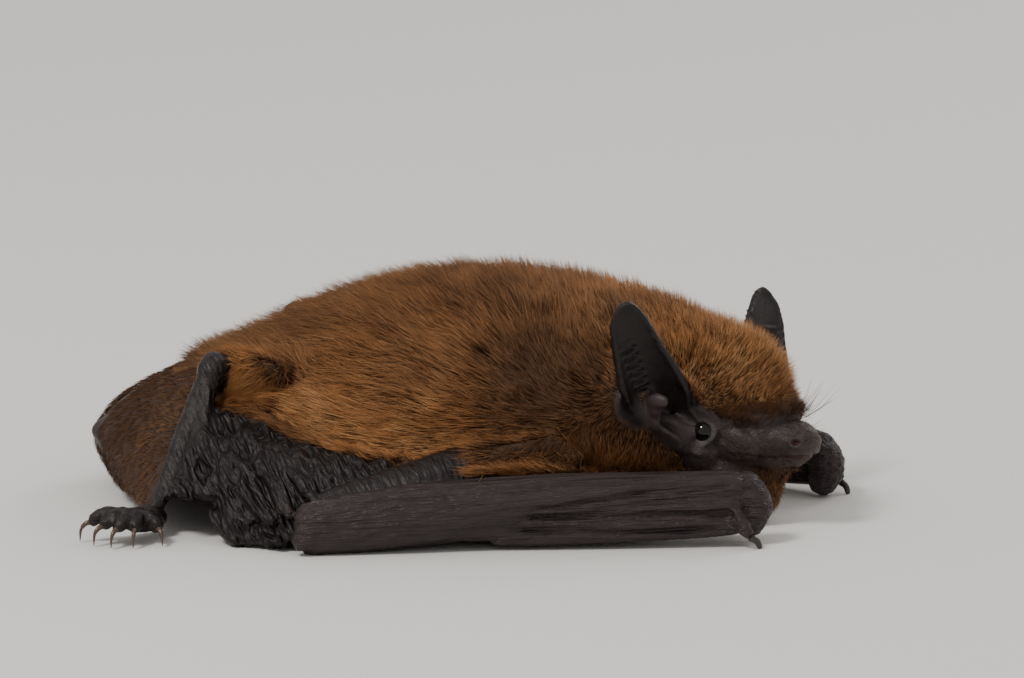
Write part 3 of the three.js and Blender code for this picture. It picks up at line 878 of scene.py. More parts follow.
def skin_material(settings):
    """Bare skin with blotches, pebbles and creases, darker where it is wing or ear, with painted
    shade in the arms' furrows, painted glints among its pale grains and a painted highlight on
    the upper lids.
    """
    nodes = Nodes("skin")
    place = nodes.add("TexCoord").outputs["Object"]
    x, y, z = nodes.add("SeparateXYZ", {0: place}).outputs
    across = nodes.times(nodes.math("ABSOLUTE", y), -1.0)
    right = nodes.add("CombineXYZ", {0: x, 1: across, 2: z}).outputs[0]
    names = ("wing", "coat", "face", "folds", "arm")
    wing, coat, face, folds, arm = (nodes.attribute(name) for name in names)
    blotch = nodes.noise(place, BLOTCHES, 3.0)
    colour = nodes.mix(wing, settings.colour, settings.wing_colour)
    darker = nodes.times(nodes.minus(blotch, 0.35, clamp=True), 1.2, clamp=True)
    colour = nodes.mix(darker, colour, [0.55 * c for c in settings.colour])
    # Pale grains over the face, shins and feet: partly the skin's own paler grains, partly
    # painted glints on its pebbles
    pebble = nodes.minus(nodes.noise(place, PEBBLES, 2.0), 0.5, clamp=True)
    pebble = nodes.times(nodes.times(pebble, 2.4, clamp=True), face)
    colour = nodes.mix(pebble, colour, settings.grain_and_glint_colour)
    # Painted shade: the arms are darkened towards the wing colour everywhere but on their raised
    # lines, so the furrows read darker
    lines = ridged(nodes, right, ARM_WAY, 0.42, 0.05)
    dark = nodes.times(nodes.minus(1.0, lines), arm)
    colour = nodes.mix(nodes.times(dark, 0.45), colour, settings.wing_colour)
    # Pale lid rims, with a painted highlight on their upper side
    colour = nodes.mix(nodes.attribute("lid"), colour, settings.lid_and_highlight_colour)
    colour = nodes.mix(nodes.attribute("red"), colour, settings.nostril_colour)
    colour = nodes.mix(coat, colour, settings.under_coat)
    pores = nodes.add("TexVoronoi", {"Vector": place, "Scale": PORES}).outputs["Distance"]
    fine = nodes.noise(place, FINE_GRAIN, 3.0, 0.6)
    # each pattern, where it shows and its height in mm
    layers = [
        (fine, 1.0, 0.035),
        (pores, face, 0.03),
        (ridged(nodes, right, WING_WAY, 1.0, 0.16), folds, 0.3),
        (ridged(nodes, right, WING_WAY, 0.42, 0.2), folds, 0.08),
        (lines, arm, 0.1),
        (ridged(nodes, right, ARM_WAY, 0.2, 0.1), arm, 0.045),
    ]
    total = 0.0
    for layer, share, height in layers:
        total = nodes.plus(nodes.times(nodes.times(layer, share), height), total)
    bump = nodes.add("Bump", {"Height": total, "Strength": 1.0, "Distance": MM})
    rough = nodes.plus(nodes.times(blotch, 0.3), 0.28)
    rough = nodes.plus(rough, nodes.times(coat, 0.35))
    rough = nodes.minus(rough, nodes.times(arm, 0.07))
    nodes.set(Base_Color=colour, Roughness=rough, Normal=bump.outputs["Normal"])
    nodes.set(Specular_IOR_Level=0.3)
    return nodes.material


# The folds of the bunched wing, over one another: their share of the fold depth, how far
# apart they are, how far they are drawn out from 0 to 1, and their seed.
WING_CREASES = [(1.9, 1.6, 0.86, 31), (0.8, 0.7, 0.86, 41), (0.9, 1.3, 0.3, 45)]
WING_SUNK = 1.6  # how many fold depths the wing skin is drawn in by
MEAN_CREASE = 0.4
# Creases over nodes whose names start so: their depth in mm, the way they run, how far apart
# they are, how far they are drawn out from 0 to 1, and their seed.
CREASES = [
    ("wrist", 0.1, ARM_WAY, 0.36, 0.75, 61),
    ("foot", 0.09, ARM_WAY, 0.42, 0.35, 63),
    ("tail_mem", 0.05, (-0.7, 0, -0.7), 0.8, 0.6, 71),
]
ELBOW_LINES = (0.92, 0.16, 0.35)  # the way the creases run near the elbow
OTHER_SIDE = 60.0  # how far away the left side's noise is taken, so that the sides differ


def creases(points, way, size, squash, seed):
    """Sharp-crested folds from 0 to 1 that run along a direction, size mm apart."""
    way = np.array(way) / np.linalg.norm(way)
    points = points - squash * (points @ way)[:, None] * way
    bend = np.stack([noise(points, size * 2.6, seed + 1 + k) for k in range(3)], 1)
    return 1 - np.minimum(1, 2.4 * abs(noise(points + 0.35 * size * bend, size, seed)))


class BAT_OT_skin(bpy.types.Operator):
    """Builds one skin over all the flesh, with lids, nostrils, lips, ear ridges and folds"""

    bl_idname = "bat.skin"
    bl_label = "Skin"

    def execute(self, context):
        settings, coat = context.scene.bat_skin, context.scene.bat_coat
        mesh, points, edges, owner, outside = whole_flesh(settings, coat)
        points = self.folded(mesh, points, edges, owner, settings)
        points = self.faced(mesh, points, edges)
        points[:, 2] = np.maximum(points[:, 2], 0)
        mesh_normals(mesh, points)
        bald = (owner == "head") & (furred_head(points) < 0.9)
        coated = np.isin(owner, COATED) & ~bald
        face = in_head(points)[:, 0] > 3.5
        kept = named(owner, "ear_", "tragus")
        kept |= face & (bald | np.isin(owner, ("muzzle", "lower_jaw")))
        mesh = self.lightened(mesh, coated, kept)
        self.marked(mesh, outside)
        finished("skin", mesh, skin_material(settings), FLESH)
        return {"FINISHED"}

    def folded(self, mesh, points, edges, owner, settings):
        """The folds of the bunched wings and the creases along the arms and legs."""
        share = shares(owner, edges, 8)
        normals = unit(softened(mesh_normals(mesh, points), edges, 4))
        right = brought_to(-1, points)
        place = right + np.where(points[:, 1] < 0, 0.0, OTHER_SIDE)[:, None] * (1, 0, 0)
        deep = settings.fold_depth / MM
        folds = sum(part * creases(place, WING_WAY, *rest) for part, *rest in WING_CREASES)
        push = share("arm_mem") * deep * (folds - WING_SUNK)
        push += share("front_mem") * deep * (creases(place, ARM_WAY, 0.9, 0.8, 47) - MEAN_CREASE)
        by_elbow = 1 - smooth_step(-1.0, 7.0, points[:, 0])
        lines = creases(place, ELBOW_LINES, 0.42, 0.93, 51) * by_elbow
        lines += creases(place, ARM_WAY, 0.7, 0.95, 56) * (1 - by_elbow)
        push += share("forearm", "finger", "thumb") * 0.08 * (lines - MEAN_CREASE)
        for name, height in EAR_RIDGES.items():
            push += height * share("ear_" + name) * self.ear_ridges(name, points, normals)
        for places, height, width in ARM_LINES:
            gap, along = near_line(right, places)
            ends = smooth_step(0, 0.12, along) * smooth_step(0, 0.1, 1 - along)
            push += height * bell(gap, width) * ends
        # the shin is drawn in below its knob, which has small pebbles
        knob = far_from(KNEE, right)
        shin = 0.05 * creases(place, WING_WAY, 0.5, 0.8, 58) - 0.4
        push += share("shin") * smooth_step(0.9, 1.9, knob) * shin
        push += bell(knob, 1.2) * 0.14 * noise(points, 0.42, 59)
        for start, height, way, size, squash, seed in CREASES:
            lines = creases(place, way, size, squash, seed) - MEAN_CREASE
            push += share(start) * height * lines
        # the sharp edge of the tail membrane
        push += 0.12 * bell(near_line(right, TAIL_EDGE)[0], 0.3)
        push += 0.4 * bell(far_from(TAIL_CORNER, right), 0.8)
        push -= 0.45 * bell(far_from(TAIL_CURVE, right), 1.2)
        push -= 0.22 * share("thumb")
        # a slighter jaw and chin
        local = in_head(points)
        under = MOUTH_HEIGHT - local[:, 2]
        push -= 0.5 * share("lower_jaw") * smooth_step(0.3, 1.3, under)
        chin = 0.5 * smooth_step(10.8, 12.6, local[:, 0]) * smooth_step(0.0, 0.5, under)
        push -= chin * share("lower_jaw", "muzzle", "head")
        return points + normals * push[:, None]

    def ear_ridges(self, name, points, normals):
        """The ridges across the rear half of an ear's inside, from -1 to 1."""
        cup = ear_frame(name).inverted()
        local, inward = moved(points, cup), turned(normals, cup)[:, 0]
        height = local[:, 2] - 0.1 * local[:, 1] + 0.25 * noise(points, 2.0, 88)
        ridges = np.cos(2 * math.pi * height / RIDGE_SPACING)
        ridges *= smooth_step(2.4, 3.0, height) * (1 - smooth_step(6.4, 7.2, height))
        arc = EAR_BEND * np.arctan2(local[:, 1], EAR_BEND - local[:, 0])
        ridges *= smooth_step(0.2, 0.6, arc) * (1 - smooth_step(1.15, 1.6, arc))
        return ridges * smooth_step(0.1, 0.5, inward)

    def faced(self, mesh, points, edges):
        """The lids, nostrils and mouth."""
        local = in_head(points)
        normals = unit(softened(mesh_normals(mesh, points), edges, 3))
        normals = turned(normals, HEAD.inverted())
        even = brought_to(1, local)
        push = np.zeros(len(local))
        # the mouth line runs back from the front of the lips
        front = smooth_step(8.4, 9.4, even[:, 0])
        line = MOUTH_HEIGHT + 0.25 * smooth_step(11.0, 13.4, even[:, 0])
        push -= 0.22 * front * bell(even[:, 2] - line, 0.1)
        push += 0.07 * front * bell(even[:, 2] - line - 0.25, 0.14)
        # nostrils, each a pit in a raised ring, and the groove between them
        away = np.linalg.norm((even - NOSTRIL_AT) * (1.0, 0.7, 1.3), axis=1)
        push += 0.13 * bell(away - 0.42, 0.16) - 0.4 * bell(away, 0.2)
        push -= 0.12 * bell(far_from(NOSE_TIP, even), 0.45)
        # small pebbles over the bare face
        bare = (1 - furred_head(points)) * smooth_step(2.5, 4.5, even[:, 0])
        bare = bare * (1 - smooth_step(4.8, 5.8, even[:, 1]))
        push += 0.025 * bare * noise(local, 0.34, 81) + 0.07 * bare * noise(local, 0.9, 82)
        push -= 0.06 * bare * creases(local, (1, 0, 0.3), 1.1, 0.4, 84)
        local = local + normals * push[:, None]
        # the lids are opened from a ball round the eye, by the angle away from its gaze
        flip = np.where(local[:, 1:2] < 0, (1, -1, 1), (1, 1, 1))
        out = local - EYE_AT * flip
        distance = np.maximum(np.linalg.norm(out, axis=1), 1e-6)
        facing_out = np.clip((out * GAZE * flip).sum(1) / distance, -1, 1)
        angle = np.degrees(np.arccos(facing_out))
        sunk = np.minimum(distance, 0.6)
        opened = sunk + (distance - sunk) * smooth_step(47, 58, angle)
        rims = 0.2 * bell(angle - 64, 6) - 0.14 * bell(angle - 80, 6) + 0.08 * bell(angle - 93, 6)
        opened += rims
        near = distance < EYE_RADIUS + 1.2
        lids = EYE_AT * flip + out * (opened / distance)[:, None]
        return moved(np.where(near[:, None], lids, local), HEAD)

    def lightened(self, mesh, coated, kept):
        """The mesh with fewer triangles, above all under the coat, and none lost where kept."""
        holder = linked("skin", mesh)
        before = sum(len(p.vertices) - 2 for p in mesh.polygons)
        between = before - 2 * np.count_nonzero(coated) + COATED_TRIANGLES
        for name, chosen, ratio in (
            ("coated", coated, between / before),
            ("free", ~kept, SKIN_TRIANGLES / between),
        ):
            group = holder.vertex_groups.new(name=name)
            group.add(np.flatnonzero(chosen).tolist(), 1.0, "REPLACE")
            modifier = holder.modifiers.new(name, "DECIMATE")
            modifier.ratio = ratio
            modifier.use_collapse_triangulate = True
            modifier.vertex_group = name
        light = evaluated_mesh(holder)
        light.name = "skin"
        return light

    def marked(self, mesh, outside):
        """Writes what the coat and the colours follow as attributes of the skin."""
        points, edges = mesh_arrays(mesh)
        normals = mesh_normals(mesh, points)
        owner = nearest_nodes(points)
        share = shares(owner, edges, 5)
        depth = np.array([outside.find_nearest(p)[3] for p in points * MM]) / MM - SWELL
        right, local = brought_to(-1, points), in_head(points)
        even = brought_to(1, local)
        knee = smooth_step(1.3, 2.0, far_from(KNEE, right))
        fur = np.where(owner == "head", furred_head(points), knee * np.isin(owner, COATED))
        hollow = np.ones(len(points))
        cups = {name: ear_frame(name).inverted() for name in SIDES}
        gaps = {name: near_line(moved(points, cups[name]), EAR_HOLLOW)[0] for name in SIDES}
        for gap in gaps.values():
            fur = fur * smooth_step(1.0, 1.5, gap)
            hollow = hollow * smooth_step(2.2, 3.0, gap)
        fur = softened(fur.astype(float), edges, 3)

        # the long coat, with the thighs' part of it and the short fur outside each ear's base
        pocket = bell(far_from(THIGH_POCKET, right), 2.0)
        depth = np.maximum(depth, 0.45 + 0.7 * pocket) * smooth_step(0.2, 0.8, fur)
        thigh = depth * np.maximum(share("thigh"), pocket)
        for name, cup in cups.items():
            outer = smooth_step(0.2, 0.6, -turned(normals, cup)[:, 0])
            outer = outer * smooth_step(1.3, 2.2, gaps[name])
            low = 1 - smooth_step(1.5, 4.0, moved(points, cup)[:, 2])
            depth = np.maximum(depth, 0.9 * share("ear_" + name) * outer * low)

        # the down on the tail, the upper arms, the fringe along the flanks and the chin
        upward = normals[:, 2]
        fringe = 1 - smooth_step(0.3, 2.2, distances(points, COATED)[0])
        from_edge = smooth_step(0.45, 1.0, near_line(right, TAIL_EDGE)[0])
        down = 0.36 * share("tail_mem", "tail") * from_edge
        down *= smooth_step(-0.8, -0.6, upward)
        down += 1.0 * share("upper") * smooth_step(4.6, 6.4, points[:, 0])
        down += 0.8 * fringe * share("arm_mem", "front_mem") * (upward > -0.2)
        chin = smooth_step(0.4, 0.9, MOUTH_HEIGHT - local[:, 2])
        chin = chin * (1 - smooth_step(12.3, 13.1, local[:, 0]))
        down += 0.6 * share("lower_jaw") * chin

        # the bare face, where sparse hairs grow more towards the edge of the coat
        above = furred_head(points + turned(np.array([(0.2, 0, 0.9)]), HEAD))
        bare = (1 - fur) * share("head", "muzzle", "lower_jaw")
        face = np.clip(bare * smooth_step(2.0, 3.5, local[:, 0]), 0, 1)
        face = face * (1 - smooth_step(4.8, 5.8, even[:, 1]))
        bare = bare * smooth_step(1.3, 1.6, far_from(EYE_AT, even)) * (0.12 + 0.8 * above)

        # the rims of the lids, paler all round and most on the upper side, where the extra is a
        # painted highlight of the lit fold; the nostrils and the lips
        out = even - EYE_AT
        along = out @ GAZE
        rim = np.linalg.norm(out - along[:, None] * GAZE, axis=1)
        # upper: the side of the lids that gets the painted highlight
        upper = smooth_step(-0.3, 0.6, out[:, 2] + 0.4 * out[:, 0])
        red = bell(far_from(NOSTRIL_AT, even), 0.22)
        lips = bell(even[:, 2] - MOUTH_HEIGHT - 0.17, 0.09)
        red += 0.5 * smooth_step(10.5, 11.5, even[:, 0]) * lips
        wing = ("arm_mem", "front_mem", "upper", "ear", "tragus", "shin", "foot", "toe")
        values = {
            "coat_depth": depth,
            "down_depth": down,
            "thigh_depth": thigh,
            "bare_depth": bare * hollow,
            "coat": np.clip(np.maximum(smooth_step(0.15, 0.6, depth), 2 * down), 0, 1),
            "wing": share(*wing),
            "folds": np.clip(share("arm_mem") + 0.35 * share("shin", "upper"), 0, 1),
            "arm": share("forearm", "finger", "thumb", "wrist", "front_mem"),
            "face": np.clip(face + 0.6 * share("shin", "foot", "toe"), 0, 1),
            "lid": bell(rim - 0.82, 0.17) * (0.2 + 0.8 * upper) * (along > 0),
            "red": np.clip(red, 0, 1),
        }
        for name, value in values.items():
            set_attribute(mesh, name, value)


# ------------------------------------------------------------------ coat

# How the coat lies: places on the right side, the way the hair points there and its
# length. The left side mirrors them. The first list is in the body's frame, the second in
# the head's.
BODY_LIE = [
    ((-3.7, -12.0, 6.7), (-0.93, 0, -0.36), 5.0),
    ((-10.0, -10.0, 8.0), (-0.9, 0, -0.35), 5.0),
    ((-14.0, -7.0, 11.0), (-0.95, 0, -0.2), 5.0),
    ((-19.0, -3.0, 9.0), (-0.7, 0, -0.7), 4.0),
    ((-12.5, -10.8, 10.0), (-0.85, 0, -0.5), 4.0),
    ((-14.6, -10.8, 9.0), (-0.7, 0, -0.7), 3.0),
    ((-16.0, -9.0, 10.5), (-0.7, 0, -0.7), 3.0),
    ((3.8, -10.9, 12.4), (-1.0, 0, 0.12), 5.0),
    ((-5.0, -9.5, 12.5), (-1.0, 0, 0.05), 5.0),
    ((3.5, -7.0, 15.9), (-0.8, 0.2, 0.55), 4.2),
    ((-1.0, -6.0, 16.0), (-0.95, 0.2, 0.3), 4.8),
    ((9.5, -8.0, 13.5), (-0.3, 0.3, 0.9), 4.2),
    ((8.5, -9.5, 11.0), (-1.0, 0, 0.1), 4.5),
    ((12.0, -8.5, 11.0), (-0.2, 0, 0.9), 4.0),
    ((10.1, -10.5, 7.6), (-0.55, 0, -0.83), 5.0),
    ((14.1, -8.9, 7.5), (-0.45, 0, -0.9), 4.2),
    ((12.7, -9.2, 4.7), (-0.6, 0, -0.8), 4.0),
    ((16.3, -7.7, 5.6), (0.05, 0, -1.0), 3.2),
    ((12.4, -1.8, 16.5), (-0.7, 0, 0.3), 3.2),
    ((4.0, 0.0, 17.5), (-1.0, 0, 0), 3.6),
    ((-6.0, 0.0, 17.0), (-1.0, 0, 0), 4.6),
    ((-15.0, 0.0, 13.0), (-0.95, 0, -0.3), 5.0),
    ((0.0, 0.0, 0.5), (-1.0, 0, 0), 3.0),
    ((10.0, 0.0, 0.5), (-1.0, 0, 0), 3.0),
    ((18.0, -1.0, 1.5), (-0.9, 0, -0.3), 2.6),
]
HEAD_LIE = [
    ((6.6, -4.3, 4.1), (0.15, 0, 1.0), 2.5),
    ((3.5, -4.6, 4.5), (-0.4, 0, 0.9), 2.8),
    ((10.5, -2.0, 3.7), (0.5, 0.2, 0.8), 2.3),
    ((9.9, -3.3, 1.4), (0.75, 0, 0.5), 1.6),
    ((7.5, -4.2, 0.9), (0.6, 0, 0.6), 1.2),
    ((12.3, 0.0, 1.5), (0.9, 0, 0.35), 1.5),
    ((11.6, -1.5, 1.0), (0.8, -0.2, 0.4), 1.5),
    ((5.0, 0.0, 7.2), (-0.3, 0, 0.5), 2.6),
    ((9.0, 0.0, 5.6), (0.2, 0, 0.6), 2.3),
    ((1.0, -4.5, 4.0), (-0.7, 0, 0.3), 3.2),
    ((1.0, -5.5, -1.0), (-0.5, 0, -0.9), 3.0),
    ((3.0, -4.8, -3.8), (0, 0, -1.0), 2.6),
    ((9.0, -1.5, -4.5), (-0.4, 0, -0.9), 2.2),
]
# Where the coat is brighter or darker and warmer or greyer than elsewhere: the place on the
# right side, how far it reaches, and how much it adds to the tint and the warmth.
BODY_TONES = [
    ((10.2, -9.3, 11.2), 3.2, -0.5, -0.15),
    ((8.2, -10.4, 9.4), 2.8, -0.42, -0.1),
    ((-14.0, -7.0, 12.5), 4.0, -0.3, -0.1),
    # Painted light in the hollow by the thigh: brighter to lift its shade, and warmer like the
    # coat there
    ((-11.5, -10.5, 10.8), 2.6, 0.22, 0.3),
    ((-11.5, -12.8, 6.2), 1.9, -0.34, -0.3),
    ((-6.5, -13.2, 5.0), 1.7, -0.26, -0.2),
    ((14.8, -8.3, 9.0), 1.8, -0.30, 0.0),
    # Greyer at the top of the neck and along the top of the back (below): partly the coat's own
    # tone, partly painted sheen from the light above
    ((12.0, -5.0, 15.0), 3.5, -0.12, -0.35),
    ((-3.7, -12.0, 5.5), 4.5, 0.28, 0.30),
    ((3.8, -11.5, 4.5), 4.0, 0.12, 0.30),
    ((-12.0, -9.0, 8.5), 3.0, 0.08, 0.15),
    ((9.0, -10.8, 5.5), 2.6, 0.10, 0.2),
    # Darker and greyer along the top of the back: the darker brown is the coat's own, the grey
    # partly painted sheen from the light above
    ((3.0, -2.0, 17.5), 7.0, -0.32, -0.05),
    ((-9.0, 0.0, 16.0), 6.0, -0.24, -0.3),
    ((-19.0, 0.0, 11.0), 5.0, -0.16, -0.40),
    ((-24.0, -4.0, 4.5), 6.0, -0.6, -0.3),
]
HEAD_TONES = [
    ((9.5, -2.6, 3.2), 3.0, 0.24, 0.3),
    ((6.0, -4.5, 3.5), 2.4, 0.12, 0.3),
    # A darker band along the coat's lower edge over the brow and muzzle: partly dark brown fur,
    # partly painted shade under the overhanging edge
    ((9.0, -3.3, 0.7), 1.1, -0.35, -0.2),
    ((12.2, -1.0, 0.6), 0.9, -0.25, -0.2),
    ((10.8, -1.2, -4.0), 2.2, -0.25, -0.15),
    ((3.0, 0.0, 7.5), 3.0, -0.25, -0.1),
]
LIE_REACH = 3.2  # how far each guide counts past the nearest one
RING = 0.42  # where along a tuft its ring is
CORNERS = 3  # round the ring
TUFT_PATCH = 0.003  # the width of each tuft's patch on the unwrapped coat
TUFTS_TO_A_CLUMP = 22
LEAST_DEPTH = 0.1  # of a coat that is planted
ROOT_DEPTH = 0.15  # how far under the skin a tuft starts
COURSE_STEPS = 6  # in which a tuft's course is laid over the skin
OFF_FLOOR = 0.03  # how far off the floor a tuft stays


def lie_guides():
    """All the guide places, directions and lengths, on both sides."""
    places, ways, lengths = [], [], []
    for guides, base in ((BODY_LIE, Matrix()), (HEAD_LIE, HEAD)):
        here, way, length_here = zip(*guides)
        for side in (1, -1):
            places.append(moved(sided(here, side), base))
            ways.append(turned(sided(way, side), base))
            lengths += length_here
    return np.vstack(places), unit(np.vstack(ways)), np.array(lengths)


class Lie:
    """The way, the length and the tone of the hair anywhere over the skin."""

    def __init__(self):
        self.places, self.ways, self.lengths = lie_guides()

    def tone(self, points):
        """What the place adds to the tint and the warmth."""
        total = np.zeros((len(points), 2))
        for tones, place in ((BODY_TONES, points), (HEAD_TONES, in_head(points))):
            place = brought_to(-1, place)
            for middle, reach, tint, warmth in tones:
                total += bell(far_from(middle, place), reach)[:, None] * (tint, warmth)
        return total

    def weights(self, points):
        """How much each guide counts at each point."""
        gaps = ((points[:, None, :] - self.places[None]) ** 2).sum(2)
        near = gaps.min(1, keepdims=True)
        weights = np.exp(-(gaps - near) / LIE_REACH**2)
        return weights / weights.sum(1, keepdims=True)

    def way(self, points):
        return unit(self.weights(points) @ self.ways)

    def length(self, points):
        return self.weights(points) @ self.lengths


class Air:
    """The height over the skin, and the way out from it, anywhere near the bat."""

    STEP, MARGIN = 0.5, 4.0  # of the grid that the heights are kept on

    def __init__(self, skin_points, tree):
        self.low = skin_points.min(0) - self.MARGIN
        high = skin_points.max(0) + self.MARGIN
        counts = np.ceil((high - self.low) / self.STEP).astype(int) + 1
        axes = [self.low[k] + self.STEP * np.arange(counts[k]) for k in range(3)]
        grid = np.stack(np.meshgrid(*axes, indexing="ij"), -1)
        heights = np.empty(grid.shape[:3])
        flat, out = grid.reshape(-1, 3), heights.reshape(-1)
        for i, point in enumerate(flat * MM):
            place, normal, _, gap = tree.find_nearest(point)
            out[i] = math.copysign(gap, (Vector(point) - place).dot(normal)) / MM
        slopes = np.stack(np.gradient(heights, self.STEP), -1)
        self.values = np.concatenate([heights[..., None], slopes], -1)

    def at(self, points):
        """Heights and outward directions."""
        place = (points - self.low) / self.STEP
        corner = np.clip(np.floor(place).astype(int), 0, np.array(self.values.shape[:3]) - 2)
        t = place - corner
        total = 0
        for offset, weight in corners_of(t):
            x, y, z = (corner + offset).T
            total = total + weight[:, None] * self.values[x, y, z]
        return total[:, 0], unit(total[:, 1:])


def grown(roots, normals, ways, reach, rise, air):
    """The course of each hair from its root: points at even steps along it.

    reach is how far the hair runs over the skin and rise how high its tip stands.
    """
    course = [roots - ROOT_DEPTH * normals]
    point, out = roots, normals
    for step in range(1, COURSE_STEPS + 1):
        share = step / COURSE_STEPS
        flat = unit(ways - (ways * out).sum(1)[:, None] * out)
        point = point + flat * (reach / COURSE_STEPS)[:, None]
        height, out = air.at(point)
        wanted = rise * (1 - (1 - share) ** 1.35)
        point = point + out * (wanted - height)[:, None]
        course.append(point)
    return np.array(course)


def at_share(course, share):
    """Points at a share of the way along each course."""
    place = share * (len(course) - 1)
    low = min(int(place), len(course) - 2)
    t = place - low
    return course[low] * (1 - t) + course[low + 1] * t


def tuft_mesh(name, course, widths, patches, **attributes):
    """One mesh of tapered tufts, each a root point, a ring of corners and a tip.

    patches are the tufts' places on the UV map. The attributes have a value for each tuft.
    """
    count = course.shape[1]
    per_tuft = 2 + CORNERS
    points = np.empty((count, per_tuft, 3))
    points[:, 0], points[:, -1] = course[0], course[-1]
    middle = at_share(course, RING)
    forward = unit(course[-1] - course[0])
    side = unit(np.cross(forward, (0.12, 0.33, 0.94)))
    upward = np.cross(side, forward)
    faces, uv = [], []
    for c in range(CORNERS):
        turn = 2 * math.pi * c / CORNERS
        offset = math.cos(turn) * side + math.sin(turn) * upward
        points[:, 1 + c] = middle + offset * widths[:, None] / 2
        d = (c + 1) % CORNERS
        left, right = c / CORNERS, (c + 1) / CORNERS
        faces += [(0, 1 + d, 1 + c), (1 + c, 1 + d, 1 + CORNERS)]
        uv += [((left + right) / 2, 0), (right, RING), (left, RING)]
        uv += [(left, RING), (right, RING), ((left + right) / 2, 1)]
    faces = np.array(faces)
    loops = (faces.ravel()[None] + per_tuft * np.arange(count)[:, None]).ravel()
    mesh = bpy.data.meshes.new(name)
    mesh.vertices.add(count * per_tuft)
    mesh.vertices.foreach_set("co", (points * MM).ravel())
    mesh.loops.add(len(loops))
    mesh.loops.foreach_set("vertex_index", loops)
    mesh.polygons.add(len(loops) // 3)
    mesh.polygons.foreach_set("loop_start", np.arange(0, len(loops), 3))
    mesh.update(calc_edges=True)
    layer = mesh.uv_layers.new(name="OFBake")
    places = patches[:, None] + (np.array(uv)[None] - 0.5) * TUFT_PATCH
    layer.data.foreach_set("uv", places.ravel())
    set_attribute(mesh, "along", np.tile([0, *[RING] * CORNERS, 1], count))
    for key, values in attributes.items():
        set_attribute(mesh, key, np.repeat(values, per_tuft))
    return mesh


def coat_material(settings):
    """Dark roots and tips whose colour follows each tuft's tint and warmth."""
    nodes = Nodes("coat")
    along, tint = nodes.attribute("along"), nodes.attribute("tint")
    # Where warmth is low the tips turn grey: partly the coat's own tone, partly painted sheen
    # along the top of the back
    tip = nodes.mix(nodes.attribute("warmth"), settings.grey_and_sheen_colour, settings.tip_colour)
    dark = nodes.mix(0.85, tip, settings.root_colour)
    tip = nodes.mix(nodes.times(tint, 1.7, clamp=True), dark, tip)
    pale_share = nodes.minus(nodes.times(tint, 2.6), 1.6, clamp=True)
    tip = nodes.mix(pale_share, tip, settings.pale_colour)
    rising = nodes.times(nodes.minus(along, 0.3), 1.7, clamp=True)
    nodes.set(Base_Color=nodes.mix(rising, settings.root_colour, tip), Roughness=0.5)
    nodes.set(Specular_IOR_Level=0.2)
    return nodes.material


class Pelt:
    """Where one kind of fur grows: the skin's triangles, normals and depths of that fur."""

    def __init__(self, skin, attribute):
        mesh = skin.data
        self.points, _ = mesh_arrays(mesh)
        self.normals = mesh_normals(mesh, self.points)
        self.depth = np.empty(len(self.points))
        mesh.attributes[attribute].data.foreach_get("value", self.depth)
        mesh.calc_loop_triangles()
        triangles = np.empty(len(mesh.loop_triangles) * 3, dtype=np.int64)
        mesh.loop_triangles.foreach_get("vertices", triangles)
        triangles = triangles.reshape(-1, 3)
        self.triangles = triangles[(self.depth[triangles] > LEAST_DEPTH).all(1)]
        a, b, c = (self.points[self.triangles[:, k]] for k in range(3))
        self.areas = np.linalg.norm(np.cross(b - a, c - a), axis=1) / 2
        self.centres = (a + b + c) / 3

    def planted(self, count, chosen, rng):
        """Roots spread evenly over the chosen triangles: places, normals and depths."""
        weights = self.areas * chosen
        picked = rng.choice(len(weights), count, p=weights / weights.sum())
        u, v = rng.random((2, count))
        over = u + v > 1
        u, v = np.where(over, 1 - u, u), np.where(over, 1 - v, v)
        shares = np.stack([1 - u - v, u, v], 1)
        corners = self.triangles[picked]

        def blended(values):
            return (values[corners] * shares.reshape(count, 3, *[1] * (values.ndim - 1))).sum(1)

        return blended(self.points), unit(blended(self.normals)), blended(self.depth)


def unrolled(points):
    """Places on the pelt cut along the belly and rolled out flat, from 0 to 1 each way."""
    angle = np.arctan2(points[:, 1], points[:, 2] - 6.0)
    flat = np.stack([angle, points[:, 0]], 1)
    low, high = flat.min(0), flat.max(0)
    return 0.01 + 0.98 * (flat - low) / (high - low)


# The pieces of the long coat: where each starts and ends along x, and its side.
COAT_PIECES = {
    "coat_head_right": (15.5, 30, -1),
    "coat_head_left": (15.5, 30, 1),
    "coat_neck_right": (7.5, 15.5, -1),
    "coat_neck_left": (7.5, 15.5, 1),
    "coat_back_right": (-3.5, 7.5, -1),
    "coat_back_left": (-3.5, 7.5, 1),
    "coat_rump_right": (-30, -3.5, -1),
    "coat_rump_left": (-30, -3.5, 1),
}
# How tufts are shaped: their share of the guides' length and of the hair width, how firmly
# they clump, from and to, and their tint.
BODY_TUFTS = (0.78, 1.0, (0.05, 0.65), 0.5)
HEAD_TUFTS = (0.82, 0.74, (0.0, 0.4), 0.58)
# The pieces of short fur: the skin's attribute with its depth, how many tufts and their shape.
SHORT_PIECES = {
    "coat_down": ("down_depth", 20000, (1.0, 0.85, (0.0, 0.5), 0.4)),
    "coat_thighs": ("thigh_depth", 16000, (0.9, 1.0, (0.0, 0.5), 0.42)),
    "face_hairs": ("bare_depth", 4000, (1.8, 0.45, (0.0, 0.2), 0.06)),
}


